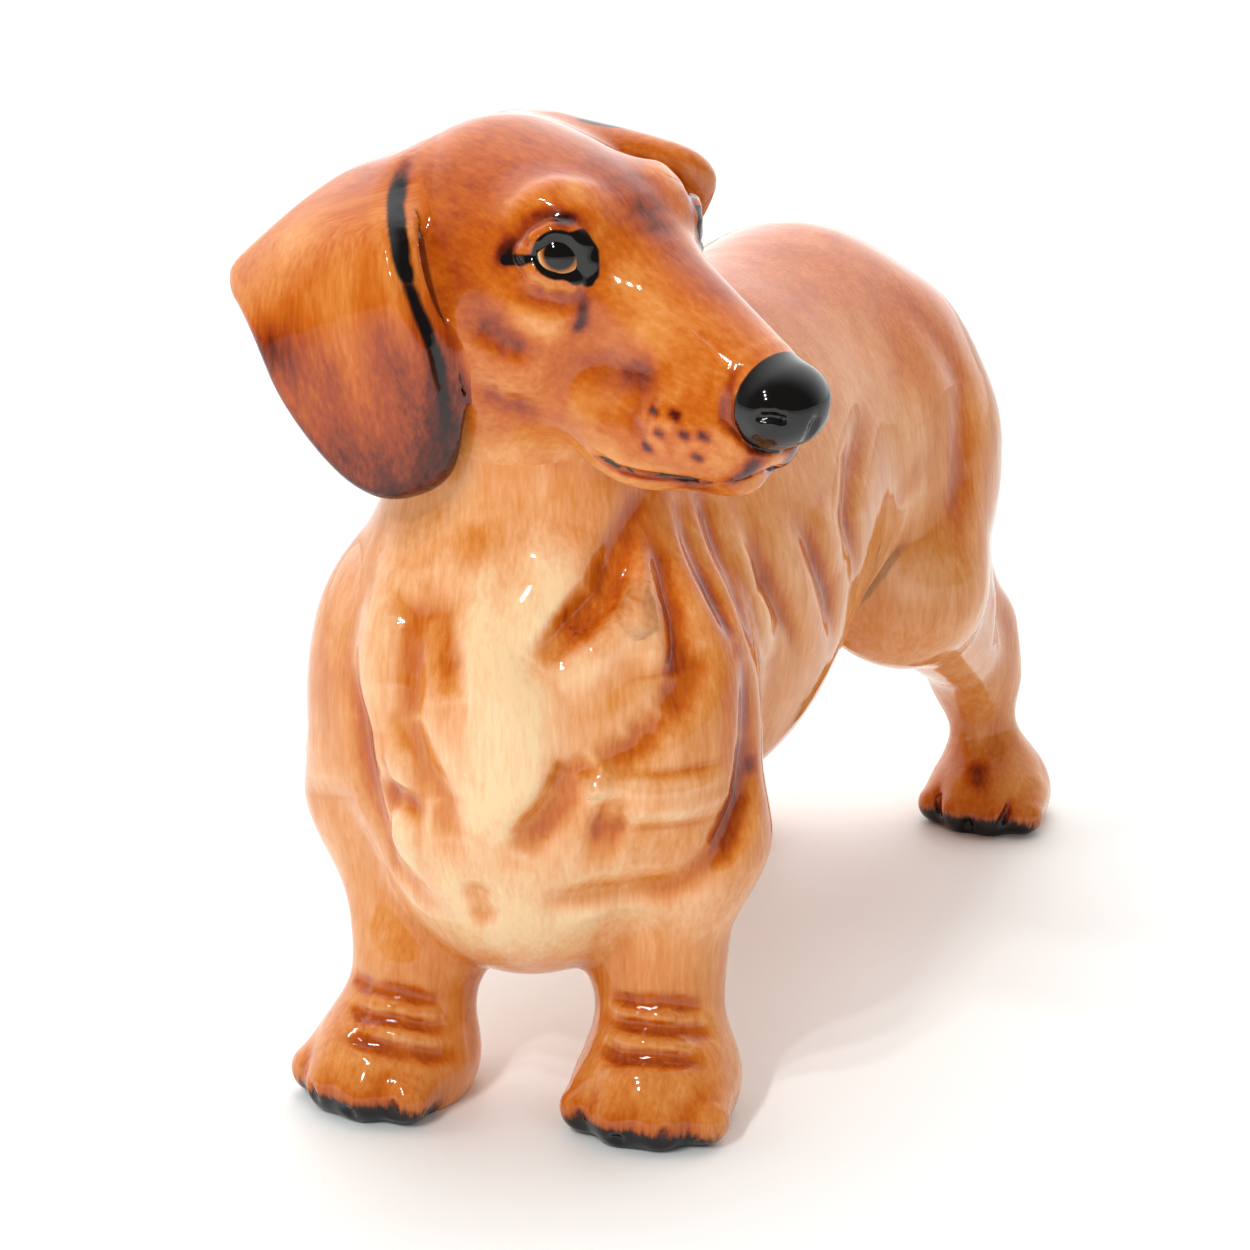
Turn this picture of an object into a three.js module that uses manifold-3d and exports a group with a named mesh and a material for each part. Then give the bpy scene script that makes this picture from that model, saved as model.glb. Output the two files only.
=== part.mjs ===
// A standing dachshund figurine in glazed earthenware, in the pieces a potter lutes together with slip:
// a hollow trunk with the neck, a head, two ears, four legs and a tail.
// Millimetres, +Z up, the dog faces -Y, its left side is +X, and the paws stand on Z = 0.
import * as THREE from "three";
import { mergeVertices } from "three/addons/utils/BufferGeometryUtils.js";
import Module from "manifold-3d";

const wasm = await Module();
wasm.setup();

// ---------------------------------------------------------------- driving dimensions
const withersHeight = 78; // top of the shoulders above the table
const chestWidth = 47; // across the shoulders
const pawToPaw = 99; // left front paw to left hind paw, along the body
const frontTrack = 28; // between the centres of the front paws
const hindTrack = 31.5; // between the centres of the hind paws
const frontStep = 6.5; // how far the right front paw stands ahead of the left one
const hindStep = 20; // how far the right hind paw stands ahead of the left one
const headLength = 56; // back of the skull to the tip of the nose
const headHeight = 93; // centre of the skull above the table
const headTurn = 70.7; // degrees, towards the dog's left
const headNod = 8.5; // degrees, nose down
const frontPawWidth = 17.8; // across the toes
const hindPawWidth = 16;
const pasternWidth = 12.6; // a foreleg, just above the paw
const hockWidth = 9.4; // a hind leg, just above the paw
const earLength = 38;
const earWidth = 23;
const earThickness = 3.4;
const tailLength = 52;
const tailWidth = 9; // at its root
const wall = 4; // of the hollow trunk
const ventDiameter = 3; // lets hot air out of the trunk in the kiln
const slipGap = 0.3; // left between two casts for the luting slip

// ---------------------------------------------------------------- small helpers
const radians = THREE.MathUtils.degToRad;
const mix = THREE.MathUtils.lerp;
const vec = (x, y, z) => new THREE.Vector3(x, y, z);
const bothSides = (make) => [make(1), make(-1)].flat();

// ---------------------------------------------------------------- soft forms
// Each form gives the signed distance from a point to its surface, negative inside.
function lump(centre, radii, turn = new THREE.Quaternion()) {
  const back = turn.clone().invert();
  const p = vec(0, 0, 0);
  return (point) => {
    p.copy(point).sub(centre).applyQuaternion(back).divide(radii);
    const k = p.length();
    const slope = p.divide(radii).length();
    return slope < 1e-9 ? -Math.min(radii.x, radii.y, radii.z) : (k * (k - 1)) / slope;
  };
}

function limb(start, end, startRadius, endRadius) {
  const along = end.clone().sub(start);
  const lengthSquared = along.lengthSq();
  const p = vec(0, 0, 0);
  return (point) => {
    p.copy(point).sub(start);
    const t = THREE.MathUtils.clamp(p.dot(along) / lengthSquared, 0, 1);
    return p.addScaledVector(along, -t).length() - mix(startRadius, endRadius, t);
  };
}

const soft = (form, blend) => ({ form, blend });

// The forms melt into each other, each over its own blend width, as clay is smoothed over a joint.
class Clay {
  constructor(...layers) {
    this.layers = layers.flat();
  }
  depth(point) {
    let found = 1e6;
    for (const { form, blend } of this.layers) {
      const d = form(point);
      const near = Math.max(blend - Math.abs(found - d), 0) / blend;
      found = Math.min(found, d) - (near * near * blend) / 4;
    }
    return found;
  }
  // How far the clay reaches from an inside point along a direction, up to a limit.
  reach(origin, direction, limit, grow) {
    const p = vec(0, 0, 0);
    const depthAt = (t) => this.depth(p.copy(origin).addScaledVector(direction, t)) - grow;
    let low = 0;
    let high = 0;
    while (high < limit && depthAt(high) < 0) {
      low = high;
      high += 0.8;
    }
    if (high >= limit) return limit;
    for (let i = 0; i < 14; i++) {
      const middle = (low + high) / 2;
      if (depthAt(middle) < 0) low = middle;
      else high = middle;
    }
    return high;
  }
}

// ---------------------------------------------------------------- closed skins
// A ball grown out of a line until it meets the clay's surface, its poles beyond the line's two ends.
function pod(clay, line, rings, sides, limit, grow) {
  const ball = new THREE.SphereGeometry(1, sides, rings);
  const place = ball.attributes.position;
  const forward = line(1).sub(line(0)).normalize();
  const turn = new THREE.Quaternion().setFromUnitVectors(vec(0, 1, 0), forward);
  for (let i = 0; i < place.count; i++) {
    const out = vec(0, 0, 0).fromBufferAttribute(place, i);
    const origin = line((out.y + 1) / 2);
    out.y = out.y ** 3;
    out.applyQuaternion(turn).normalize();
    const reach = clay.reach(origin, out, limit + grow, grow);
    place.setXYZ(i, ...origin.addScaledVector(out, reach).toArray());
  }
  return solid(ball);
}

// A column of level rings, each grown out of a centre line until it meets the clay's surface.
// Where that surface is one of the hosts' own, the column sinks into the host.
function column(clay, hosts, line, rings, sides, limit, grow) {
  const pipe = new THREE.CylinderGeometry(1, 1, 1, sides, rings);
  const place = pipe.attributes.position;
  for (let i = 0; i < place.count; i++) {
    const out = vec(0, 0, 0).fromBufferAttribute(place, i);
    const p = line(out.y + 0.5);
    out.y = -out.z;
    out.z = 0;
    if (out.length() > 0.5) {
      out.normalize();
      const reach = clay.reach(p, out, limit + grow, grow);
      p.addScaledVector(out, reach);
      const onHost = reach < limit + grow && hosts.some((host) => host.depth(p) - grow < 0.12);
      if (onHost) p.addScaledVector(out, -Math.min(reach * 0.5, 1.5));
    }
    place.setXYZ(i, ...p.toArray());
  }
  return solid(pipe);
}

// A roll of clay along a curve, of a width and a thickness that change along its length.
function roll(curve, sideways, halfWidth, halfThickness, rings, sides) {
  const ball = new THREE.SphereGeometry(1, sides, rings);
  const place = ball.attributes.position;
  for (let i = 0; i < place.count; i++) {
    const { x, y, z } = vec(0, 0, 0).fromBufferAttribute(place, i);
    const t = (1 - y) / 2;
    const ring = Math.hypot(x, z);
    const full = ring < 1e-6 ? 0 : Math.sqrt(1 - Math.abs(y) ** 5) / ring;
    const tangent = curve.getTangent(t);
    const side = sideways(t);
    side.addScaledVector(tangent, -side.dot(tangent)).normalize();
    const face = vec(0, 0, 0).crossVectors(tangent, side);
    const p = curve.getPoint(t).addScaledVector(side, x * full * halfWidth(t));
    p.addScaledVector(face, z * full * halfThickness(t));
    place.setXYZ(i, ...p.toArray());
  }
  return solid(ball);
}

function solid(geometry) {
  const bare = new THREE.BufferGeometry();
  bare.setAttribute("position", geometry.attributes.position.clone());
  bare.setIndex(geometry.index);
  const merged = mergeVertices(bare, 1e-4);
  const corners = Array.from(merged.index.array);
  const faces = [];
  for (let i = 0; i < corners.length; i += 3) {
    const [a, b, c] = corners.slice(i, i + 3);
    if (a !== b && b !== c && a !== c) faces.push(a, b, c);
  }
  const body = () =>
    new wasm.Manifold(
      new wasm.Mesh({
        numProp: 3,
        vertProperties: merged.attributes.position.array,
        triVerts: new Uint32Array(faces),
      }),
    );
  const made = body();
  if (made.volume() > 0) return made;
  faces.reverse();
  return body();
}

// A slab that holds everything on the far side of a luting plane.
function beyond(point, normal, gap) {
  const size = 400;
  const box = new THREE.BoxGeometry(size, size, size);
  const turn = new THREE.Quaternion().setFromUnitVectors(vec(0, 0, 1), normal.clone().normalize());
  const centre = point.clone().addScaledVector(normal.clone().normalize(), size / 2 + gap);
  return solid(box.applyQuaternion(turn).translate(...centre.toArray()));
}

function mesh(name, made, colour) {
  const [main] = made.decompose().sort((a, b) => b.volume() - a.volume());
  const { vertProperties, triVerts } = main.getMesh();
  const geometry = new THREE.BufferGeometry();
  geometry.setAttribute("position", new THREE.BufferAttribute(vertProperties, 3));
  geometry.setIndex(new THREE.BufferAttribute(triVerts, 1));
  geometry.computeVertexNormals();
  const glaze = new THREE.MeshStandardMaterial({ color: colour, roughness: 0.12, metalness: 0 });
  const piece = new THREE.Mesh(geometry, glaze);
  piece.name = name;
  return piece;
}

// ---------------------------------------------------------------- the trunk's clay
// Places on the trunk are in millimetres at a chest 47 wide, paws 99 apart and withers 78 high.
const onTrunk = (x, y, z) => vec((x * chestWidth) / 47, (y * pawToPaw) / 99, (z * withersHeight) / 78);
const trunkForms = [
  soft(lump(onTrunk(0, 28, 53.5), onTrunk(21.5, 34, 24)), 8), // rib cage
  soft(lump(onTrunk(0, -1, 44), onTrunk(19, 17.5, 24)), 9), // breast
  soft(lump(onTrunk(0, 1, 26.5), onTrunk(13, 13, 12.5)), 9), // brisket, between the forelegs
  soft(lump(onTrunk(0, 28, 44), onTrunk(18.5, 23, 20)), 9), // keel of the rib cage
  soft(lump(onTrunk(0, 53, 58), onTrunk(17.5, 27, 18.5)), 12), // loin
  soft(lump(onTrunk(0, 70, 60), onTrunk(16.5, 18, 18)), 12), // rump
  soft(limb(onTrunk(0, 14, 66), onTrunk(0, 66, 67), 9, 10.5), 12), // back
  ...bothSides((side) => [
    soft(lump(onTrunk(side * 15.5, 1, 43), onTrunk(8.5, 11, 16)), 7), // shoulder
    soft(lump(onTrunk(side * 12.5, 73, 53), onTrunk(8.5, 14.5, 19)), 8), // thigh
  ]),
];
const neckFoot = onTrunk(0, 2, 58);
const neckTop = vec(0, -2, headHeight - 6);
const neckForms = [
  soft(limb(neckFoot, neckTop, 14, 12.6), 9),
  soft(limb(onTrunk(0, 18, 68), vec(-1, 3, headHeight - 9), 8.5, 8.5), 9), // nape
];

// ---------------------------------------------------------------- the head's clay
// Places on the head are in millimetres at a head 56 long: ahead of the skull's centre, to the left, up.
const headScale = headLength / 56;
const skullCentre = vec(0, -2.5, headHeight);
const headPose = new THREE.Quaternion().setFromEuler(
  new THREE.Euler(0, radians(headNod), radians(headTurn - 90), "ZYX"),
);
const onHead = (ahead, left, up) =>
  vec(ahead, left, up).multiplyScalar(headScale).applyQuaternion(headPose).add(skullCentre);
const headLump = (place, radii, nod = 0) =>
  lump(
    onHead(...place),
    vec(...radii).multiplyScalar(headScale),
    headPose.clone().multiply(new THREE.Quaternion().setFromAxisAngle(vec(0, 1, 0), radians(nod))),
  );
const headLimb = (from, to, startRadius, endRadius) =>
  limb(onHead(...from), onHead(...to), startRadius * headScale, endRadius * headScale);
const headForms = [
  soft(headLump([0, 0, -0.5], [13.4, 12.6, 12.8]), 6), // skull
  soft(headLump([10, 0, 2.4], [9.5, 10.2, 8.5], 15), 5), // brow
  soft(headLimb([14, 0, 0.8], [33.4, 0, -4.3], 7.6, 5.4), 5), // bridge and muzzle
  soft(headLimb([4, 0, -9], [29.5, 0, -11.4], 7.8, 4.3), 4), // lower jaw
  ...bothSides((side) => [
    soft(headLump([6, side * 6.5, -6], [10, 6, 9]), 6), // cheek
    soft(headLump([22, side * 3.8, -12], [8.5, 4, 5], 6), 3), // jowl
    soft(headLump([28, side * 2.9, -8.4], [9.5, 4.2, 5.4], 12), 2.5), // upper lip
    soft(headLump([12.2, side * 6.3, 6.6], [5.2, 3.4, 3]), 3), // brow ridge over the eye
    soft(headLump([14.3, side * 7.45, 4.1], [3.2, 3.2, 3.2]), 1), // eyeball
  ]),
  soft(headLump([34.4, 0, -8.2], [3.9, 4.4, 4]), 2.5), // front of the lips
  soft(headLump([31, 0, -12.9], [5.2, 3.7, 2.7], 6), 1.2), // chin
  soft(headLump([38.1, 0, -4.4], [4.4, 5.3, 4.5], 12), 1.3), // nose
];

// ---------------------------------------------------------------- the legs' clay
function pawForms(x, y, width, outward) {
  const turn = new THREE.Quaternion().setFromAxisAngle(vec(0, 0, 1), radians(outward));
  const spot = (ahead, right, up) => vec(right, -ahead, up).applyQuaternion(turn).add(vec(x, y, 0));
  return [
    soft(lump(spot(0, 0, width * 0.2), vec(width * 0.47, width * 0.52, width * 0.42), turn), 4),
    ...[-0.36, -0.13, 0.13, 0.36].map((across) => {
      const reach = Math.abs(across) < 0.2 ? 0.42 : 0.3;
      const knuckle = spot(width * 0.14, width * across * 0.8, width * 0.24);
      const tip = spot(width * reach, width * across, width * 0.13);
      return soft(limb(knuckle, tip, width * 0.155, width * 0.14), 1.4);
    }),
  ];
}

const frontPaws = bothSides((side) => ({
  side,
  x: 1.5 + (side * frontTrack) / 2,
  y: side > 0 ? -1 : -1 - frontStep,
}));
const hindPaws = bothSides((side) => ({
  side,
  x: (side * hindTrack) / 2,
  y: pawToPaw - 1 - (side > 0 ? 0 : hindStep),
}));

// The joints of each leg from the ground up, and the forms between them.
function forelegJoints({ side, x, y }) {
  return [
    vec(x, y, 0),
    vec(x, y + 2, frontPawWidth * 0.3),
    vec(x - side * 1.5, y + 3.5, frontPawWidth * 0.85),
    onTrunk(side * 18, 3, 31).add(vec(0, y * 0.35, 0)),
    onTrunk(side * 13.5, 2, 50),
    onTrunk(side * 11, 4, 60),
  ];
}
function forelegForms(paw) {
  const [, pastern, wrist, elbow, shoulder] = forelegJoints(paw);
  const r = pasternWidth / 2;
  return [
    soft(limb(pastern, wrist, r * 1.08, r * 0.96), 3),
    soft(limb(wrist, elbow, r * 0.96, r * 1.08), 4),
    soft(limb(elbow, shoulder, r * 1.08, r * 1.2), 5),
    ...pawForms(paw.x, paw.y, frontPawWidth, paw.side * 12),
  ];
}
function hindLegJoints({ side, x, y }) {
  return [
    vec(x, y, 0),
    vec(x - side, y + 1.5, hindPawWidth * 0.4),
    vec(x - side * 2.6, y - 0.5, hindPawWidth * 1.22),
    onTrunk(side * 15.5, 0, 40).add(vec(0, y - 32, 0)),
    onTrunk(side * 11, 75, 54),
    onTrunk(side * 9, 73, 66),
  ];
}
function hindLegForms(paw) {
  const [, pastern, hock, stifle, hip] = hindLegJoints(paw);
  const r = hockWidth / 2;
  const heel = hock.clone().add(vec(0, 2.1, hindPawWidth * 0.375));
  return [
    soft(limb(pastern, hock, r * 0.9, r * 0.83), 3),
    soft(limb(hock, heel, r * 0.83, r * 0.51), 3),
    soft(limb(hock, stifle, r * 0.9, r * 1.7), 6),
    soft(limb(heel, hip, r * 0.58, r * 1.83), 6),
    soft(limb(stifle, hip, r * 1.7, r * 2), 8),
    ...pawForms(paw.x, paw.y, hindPawWidth, paw.side * 4),
  ];
}

// ---------------------------------------------------------------- trunk, neck and legs
const trunkClay = new Clay(trunkForms);
const headClay = new Clay(headForms);
const spine = (t) => onTrunk(0, mix(0, 74, t), mix(45, 60, t));
const barrel = (grow, rings, sides) => pod(trunkClay, spine, rings, sides, pawToPaw, grow);

const neckClay = new Clay(trunkForms, neckForms, headForms);
const neckLine = (t) => neckFoot.clone().add(vec(0, 0, -2)).lerp(neckTop, t);
const neck = (grow, rings, sides) =>
  column(neckClay, [trunkClay, headClay], neckLine, rings, sides, 24, grow);
const headJoint = { point: vec(0, -2, headHeight - 14.5), normal: vec(0.22, -0.45, 1) };
const aboveNeck = (gap) => beyond(headJoint.point, headJoint.normal, gap);

// Rings keep level however the leg bends, so the centre line is read at each ring's own height.
function levelLine(points) {
  const curve = new THREE.CatmullRomCurve3(points);
  return (t) => {
    const height = mix(points[0].z, points.at(-1).z, t);
    let low = 0;
    let high = 1;
    for (let i = 0; i < 20; i++) {
      const middle = (low + high) / 2;
      if (curve.getPoint(middle).z < height) low = middle;
      else high = middle;
    }
    return curve.getPoint(low).setZ(height);
  };
}
function legCast({ side }, forms, joints, rings, sides, limit) {
  const clay = new Clay(trunkForms, forms);
  const ownSide = beyond(vec(side, 0, 0), vec(side, 0, 0), 0);
  return column(clay, [trunkClay], levelLine(joints), rings, sides, limit, 0).intersect(ownSide);
}
const legs = [
  ...frontPaws.map((paw) => ({
    name: paw.side > 0 ? "left_foreleg" : "right_foreleg",
    colour: 0xc97b38,
    cast: legCast(paw, forelegForms(paw), forelegJoints(paw), 24, 24, 13),
    point: onTrunk(paw.side * 18, 3, 34),
    normal: vec(paw.side * -0.35, 0, 0.94),
  })),
  ...hindPaws.map((paw) => ({
    name: paw.side > 0 ? "left_hind_leg" : "right_hind_leg",
    colour: 0xc0702f,
    cast: legCast(paw, hindLegForms(paw), hindLegJoints(paw), 26, 24, 26),
    point: onTrunk(paw.side * 13, 70, 42),
    normal: vec(paw.side * -0.3, 0, 0.94),
  })),
];

const stump = ({ cast, point, normal }) => cast.intersect(beyond(point, normal, slipGap / 2));
const inside = barrel(-wall, 18, 16).add(neck(-wall, 6, 14)).subtract(aboveNeck(-wall));
const vent = solid(
  new THREE.CylinderGeometry(ventDiameter / 2, ventDiameter / 2, withersHeight / 2, 16)
    .rotateX(Math.PI / 2)
    .translate(...onTrunk(0, 48, 35).toArray()),
);
const trunk = legs
  .reduce((whole, leg) => whole.add(stump(leg)), barrel(0, 34, 32).add(neck(0, 12, 28)))
  .subtract(aboveNeck(-slipGap / 2))
  .subtract(inside)
  .subtract(vent);
const trunkClear = barrel(slipGap, 34, 32);

// ---------------------------------------------------------------- head and ears
const headLine = (t) => onHead(mix(-4, 34, t), 0, mix(-1, -6, t));
const headCast = (grow) =>
  pod(headClay, headLine, 32, 28, 30, grow)
    .add(neck(grow, 12, 28))
    .intersect(aboveNeck(slipGap / 2 - grow));
const head = headCast(0).subtract(trunkClear);
const headClear = headCast(slipGap).add(neck(slipGap, 12, 28)).add(trunkClear);

// Each ear hangs between a front edge and a rear edge: ahead, outwards and up from the skull's centre.
// The right one lies back along the neck, and the left one is pricked a little forwards.
const rightEar = {
  side: -1,
  front: [[-2, 10, 7], [2, 13.5, 2], [6.5, 14.5, -5], [9.5, 13.5, -13], [8.5, 14.5, -21]],
  rear: [[-10, 9, 4.5], [-15, 14.5, 0.5], [-17.5, 20, -5], [-11, 20, -14.5], [-1, 17, -24.5]],
};
const leftEar = {
  side: 1,
  front: [[-1, 9, 10], [4, 14.5, 8.5], [7.5, 19.5, 5], [8.5, 21, -2], [6.5, 19.5, -11]],
  rear: [[-9, 9, 6], [-12, 15, 3], [-12.5, 20.5, -3], [-8, 21.5, -12], [-1, 19.5, -20]],
};
function ear({ side, front, rear }) {
  const root = onHead(-7, side * 11.5, 5);
  const edge = (places) =>
    new THREE.CatmullRomCurve3(
      places.map(([ahead, out, up]) =>
        onHead(ahead, side * out, up).sub(root).multiplyScalar(earLength / 38).add(root),
      ),
    );
  const frontEdge = edge(front);
  const rearEdge = edge(rear);
  const curve = new THREE.CatmullRomCurve3(
    [0, 0.25, 0.5, 0.75, 1].map((t) => {
      const belly = vec(0, side * 1.5 * Math.sin(Math.PI * t), 0).applyQuaternion(headPose);
      return frontEdge.getPoint(t).lerp(rearEdge.getPoint(t), 0.5).add(belly);
    }),
  );
  const sideways = (t) => rearEdge.getPoint(t).sub(frontEdge.getPoint(t));
  const width = (t) => (sideways(t).length() / 2) * (earWidth / 23);
  const thickness = (t) => (earThickness / 2) * (1.2 - 0.3 * t);
  return roll(curve, sideways, width, thickness, 18, 18).subtract(headClear);
}

// ---------------------------------------------------------------- tail
function tail() {
  const root = onTrunk(0, 85, 64);
  const share = tailLength / 52;
  const curve = new THREE.CatmullRomCurve3(
    [
      vec(0, -3, 1),
      vec(-0.5, 9, -3),
      vec(-2, 18, -14),
      vec(-3.5, 21, -28),
      vec(-3, 20, -42),
    ].map((step) => step.multiplyScalar(share).add(root)),
  );
  const radius = (t) => (tailWidth / 2) * (1 - 0.62 * t);
  return roll(curve, () => vec(1, 0, 0), radius, radius, 16, 12);
}

// ---------------------------------------------------------------- the figurine
const figurine = new THREE.Group();
figurine.add(mesh("trunk", trunk, 0xb9672e));
figurine.add(mesh("head", head, 0xb5602a));
figurine.add(mesh("left_ear", ear(leftEar), 0x9c4c22));
figurine.add(mesh("right_ear", ear(rightEar), 0x9c4c22));
for (const { name, colour, cast, point, normal } of legs) {
  const cut = cast.subtract(beyond(point, normal, -slipGap / 2)).subtract(trunkClear);
  figurine.add(mesh(name, cut, colour));
}
figurine.add(mesh("tail", tail().subtract(trunkClear), 0xa9582a));

// The origin is on the table, under the middle of the whole figurine.
const extent = new THREE.Box3().setFromObject(figurine);
const middle = extent.getCenter(vec(0, 0, 0));
figurine.position.set(-middle.x, -middle.y, -extent.min.z);

export default figurine;
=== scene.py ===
"""A standing dachshund figurine in glazed earthenware, on a plain pale table.

Places and sizes are in the maker's millimetres: the dog faces -Y, its left side is +X, and its paws
stand on Z = 0.
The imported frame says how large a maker's millimetre is and where the dog stands.
"""

import math

import bmesh
import bpy
import numpy as np
from mathutils import Matrix, Vector


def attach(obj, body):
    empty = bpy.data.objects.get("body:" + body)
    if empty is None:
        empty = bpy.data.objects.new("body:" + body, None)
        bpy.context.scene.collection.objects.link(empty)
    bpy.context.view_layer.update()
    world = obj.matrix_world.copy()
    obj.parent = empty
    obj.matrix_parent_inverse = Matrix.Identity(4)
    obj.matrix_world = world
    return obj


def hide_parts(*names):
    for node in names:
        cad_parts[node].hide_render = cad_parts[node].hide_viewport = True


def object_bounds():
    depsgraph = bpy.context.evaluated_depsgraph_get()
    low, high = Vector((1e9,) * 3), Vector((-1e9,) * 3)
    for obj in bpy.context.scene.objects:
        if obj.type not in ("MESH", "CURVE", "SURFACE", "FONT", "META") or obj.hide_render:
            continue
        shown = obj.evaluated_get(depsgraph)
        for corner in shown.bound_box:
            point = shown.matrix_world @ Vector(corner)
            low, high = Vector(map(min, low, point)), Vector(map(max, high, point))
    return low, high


bl_info = {
    "name": "Dachshund Figurine",
    "version": (1, 0, 0),
    "blender": (4, 5, 0),
    "location": "3D View > Sidebar > Figurine",
    "description": "Models and glazes a small ceramic dachshund, cast by cast",
    "category": "Add Mesh",
}

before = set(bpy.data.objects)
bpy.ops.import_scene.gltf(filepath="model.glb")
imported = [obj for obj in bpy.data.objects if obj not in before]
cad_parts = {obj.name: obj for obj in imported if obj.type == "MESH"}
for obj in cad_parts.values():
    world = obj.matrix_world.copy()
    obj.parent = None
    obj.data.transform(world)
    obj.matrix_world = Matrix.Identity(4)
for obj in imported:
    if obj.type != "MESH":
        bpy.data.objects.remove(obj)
CAD_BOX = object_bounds()

# ------------------------------------------------------------------ the maker's millimetres
MODEL_HEIGHT = 105.25
MODEL_LOW = Vector((-26.02, -20.48, 0.0))
UNIT = (CAD_BOX[1].z - CAD_BOX[0].z) / MODEL_HEIGHT
ORIGIN = np.array(CAD_BOX[0] - MODEL_LOW * UNIT)


def unit(v):
    v = np.asarray(v, float)
    return v / np.linalg.norm(v)


def both_sides(make):
    return [*make(1), *make(-1)]


# ------------------------------------------------------------------ soft forms
class Lump:
    """An egg of clay."""

    def __init__(self, centre, radii, blend, turn=None):
        self.centre = np.array(centre, float)
        self.radii = np.array(radii, float)
        self.blend = blend
        self.turn = np.eye(3) if turn is None else turn

    def around(self):
        return self.centre, self.radii.max()

    def distance(self, p):
        q = ((p - self.centre) @ self.turn) / self.radii
        k = np.linalg.norm(q, axis=1)
        slope = np.linalg.norm(q / self.radii, axis=1)
        return k * (k - 1) / np.maximum(slope, 1e-6)

    def mould(self, bm):
        spin = Matrix(self.turn.tolist()).to_4x4()
        place = Matrix.Translation(self.centre.tolist()) @ spin @ Matrix.Diagonal((*self.radii, 1))
        bmesh.ops.create_icosphere(bm, subdivisions=3, radius=1, matrix=place)


class Limb:
    """A round bar of clay that tapers between two balls."""

    def __init__(self, start, end, start_radius, end_radius, blend):
        self.start = np.array(start, float)
        self.along = np.array(end, float) - self.start
        self.radii = start_radius, end_radius
        self.blend = blend

    def around(self):
        return self.start + self.along / 2, np.linalg.norm(self.along) / 2 + max(self.radii)

    def distance(self, p):
        q = p - self.start
        t = np.clip(q @ self.along / (self.along @ self.along), 0, 1)
        reach = np.linalg.norm(q - t[:, None] * self.along, axis=1)
        return reach - (self.radii[0] + (self.radii[1] - self.radii[0]) * t)

    def mould(self, bm):
        for t in np.linspace(0, 1, 9):
            radius = self.radii[0] + (self.radii[1] - self.radii[0]) * t
            place = Matrix.Translation((self.start + self.along * t).tolist())
            bmesh.ops.create_icosphere(bm, subdivisions=2, radius=radius, matrix=place)


class Leaf:
    """A thin cupped sheet of clay with a free outline: an ear."""

    def __init__(self, root, down, out, outline, cup, thickness, blend):
        self.root = np.array(root, float)
        down = unit(down)
        out = unit(np.asarray(out, float) - down * (down @ np.asarray(out, float)))
        self.axes = np.stack([down, np.cross(out, down), out])
        rough = np.array(outline, float)
        for _ in range(2):
            after = np.roll(rough, -1, axis=0)
            rough = np.stack([0.75 * rough + 0.25 * after, 0.25 * rough + 0.75 * after], axis=1)
            rough = rough.reshape(-1, 2)
        self.outline = rough
        s, w, n = np.array(cup, float).T
        self.cup = np.linalg.lstsq(self._terms(s, w), n, rcond=None)[0]
        self.thickness = thickness
        self.blend = blend

    def around(self):
        return self.place(14, -2)[0], 32.0

    @staticmethod
    def _terms(s, w):
        return np.stack([np.ones_like(s), s, w, s * s, s * w, w * w, s**3], axis=1)

    def place(self, s, w):
        """Puts a point of the leaf's middle surface in the dog's frame."""
        s, w = np.atleast_1d(np.asarray(s, float)), np.atleast_1d(np.asarray(w, float))
        n = self._terms(s, w) @ self.cup
        return self.root + np.stack([s, w, n], axis=1) @ self.axes

    def local(self, p):
        return (p - self.root) @ self.axes.T

    def flat_distance(self, s, w):
        """Signed distance to the outline, within the sheet."""
        inside = np.zeros(len(s), bool)
        best = np.full(len(s), 1e9)
        for a, b in zip(self.outline, np.roll(self.outline, -1, axis=0)):
            e = b - a
            q = np.stack([s, w], axis=1) - a
            t = np.clip(q @ e / (e @ e), 0, 1)
            best = np.minimum(best, np.linalg.norm(q - t[:, None] * e, axis=1))
            crosses = ((a[1] > w) != (b[1] > w)) & (s < a[0] + (w - a[1]) * e[0] / (e[1] or 1e-9))
            inside ^= crosses
        return np.where(inside, -best, best)

    def distance(self, p):
        low, high = np.array(((-5.0, -17.0, -6.0), (33.0, 13.0, 12.0)))
        q = self.local(p)
        far = np.linalg.norm(np.maximum(np.maximum(low - q, q - high), 0), axis=1) + self.blend + 1
        near = np.nonzero(far < self.blend + 4)[0]
        if len(near):
            far[near] = self.near_distance(q[near])
        return far

    def near_distance(self, q):
        s, w, n = q.T
        sc, wc = np.clip(s, -4, 33), np.clip(w, -17, 13)
        terms = self._terms(sc, wc)
        steep = np.hypot(
            self.cup[1] + 2 * self.cup[3] * sc + self.cup[4] * wc + 3 * self.cup[6] * sc**2,
            self.cup[2] + self.cup[4] * sc + 2 * self.cup[5] * wc,
        )
        off = (np.abs(n - terms @ self.cup)) / np.sqrt(1 + steep**2)
        rim = self.thickness / 2
        edge = np.maximum(self.flat_distance(s, w) + rim, 0)
        return np.hypot(edge, off) - rim

    def mould(self, bm):
        s, w = (v.ravel() for v in np.meshgrid(np.arange(-4, 34, 1.1), np.arange(-18, 14, 1.1)))
        keep = self.flat_distance(s, w) < -0.8
        for p in self.place(s[keep], w[keep]):
            place = Matrix.Translation(p.tolist())
            bmesh.ops.create_icosphere(bm, subdivisions=1, radius=self.thickness / 2 + 0.2, matrix=place)


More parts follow.
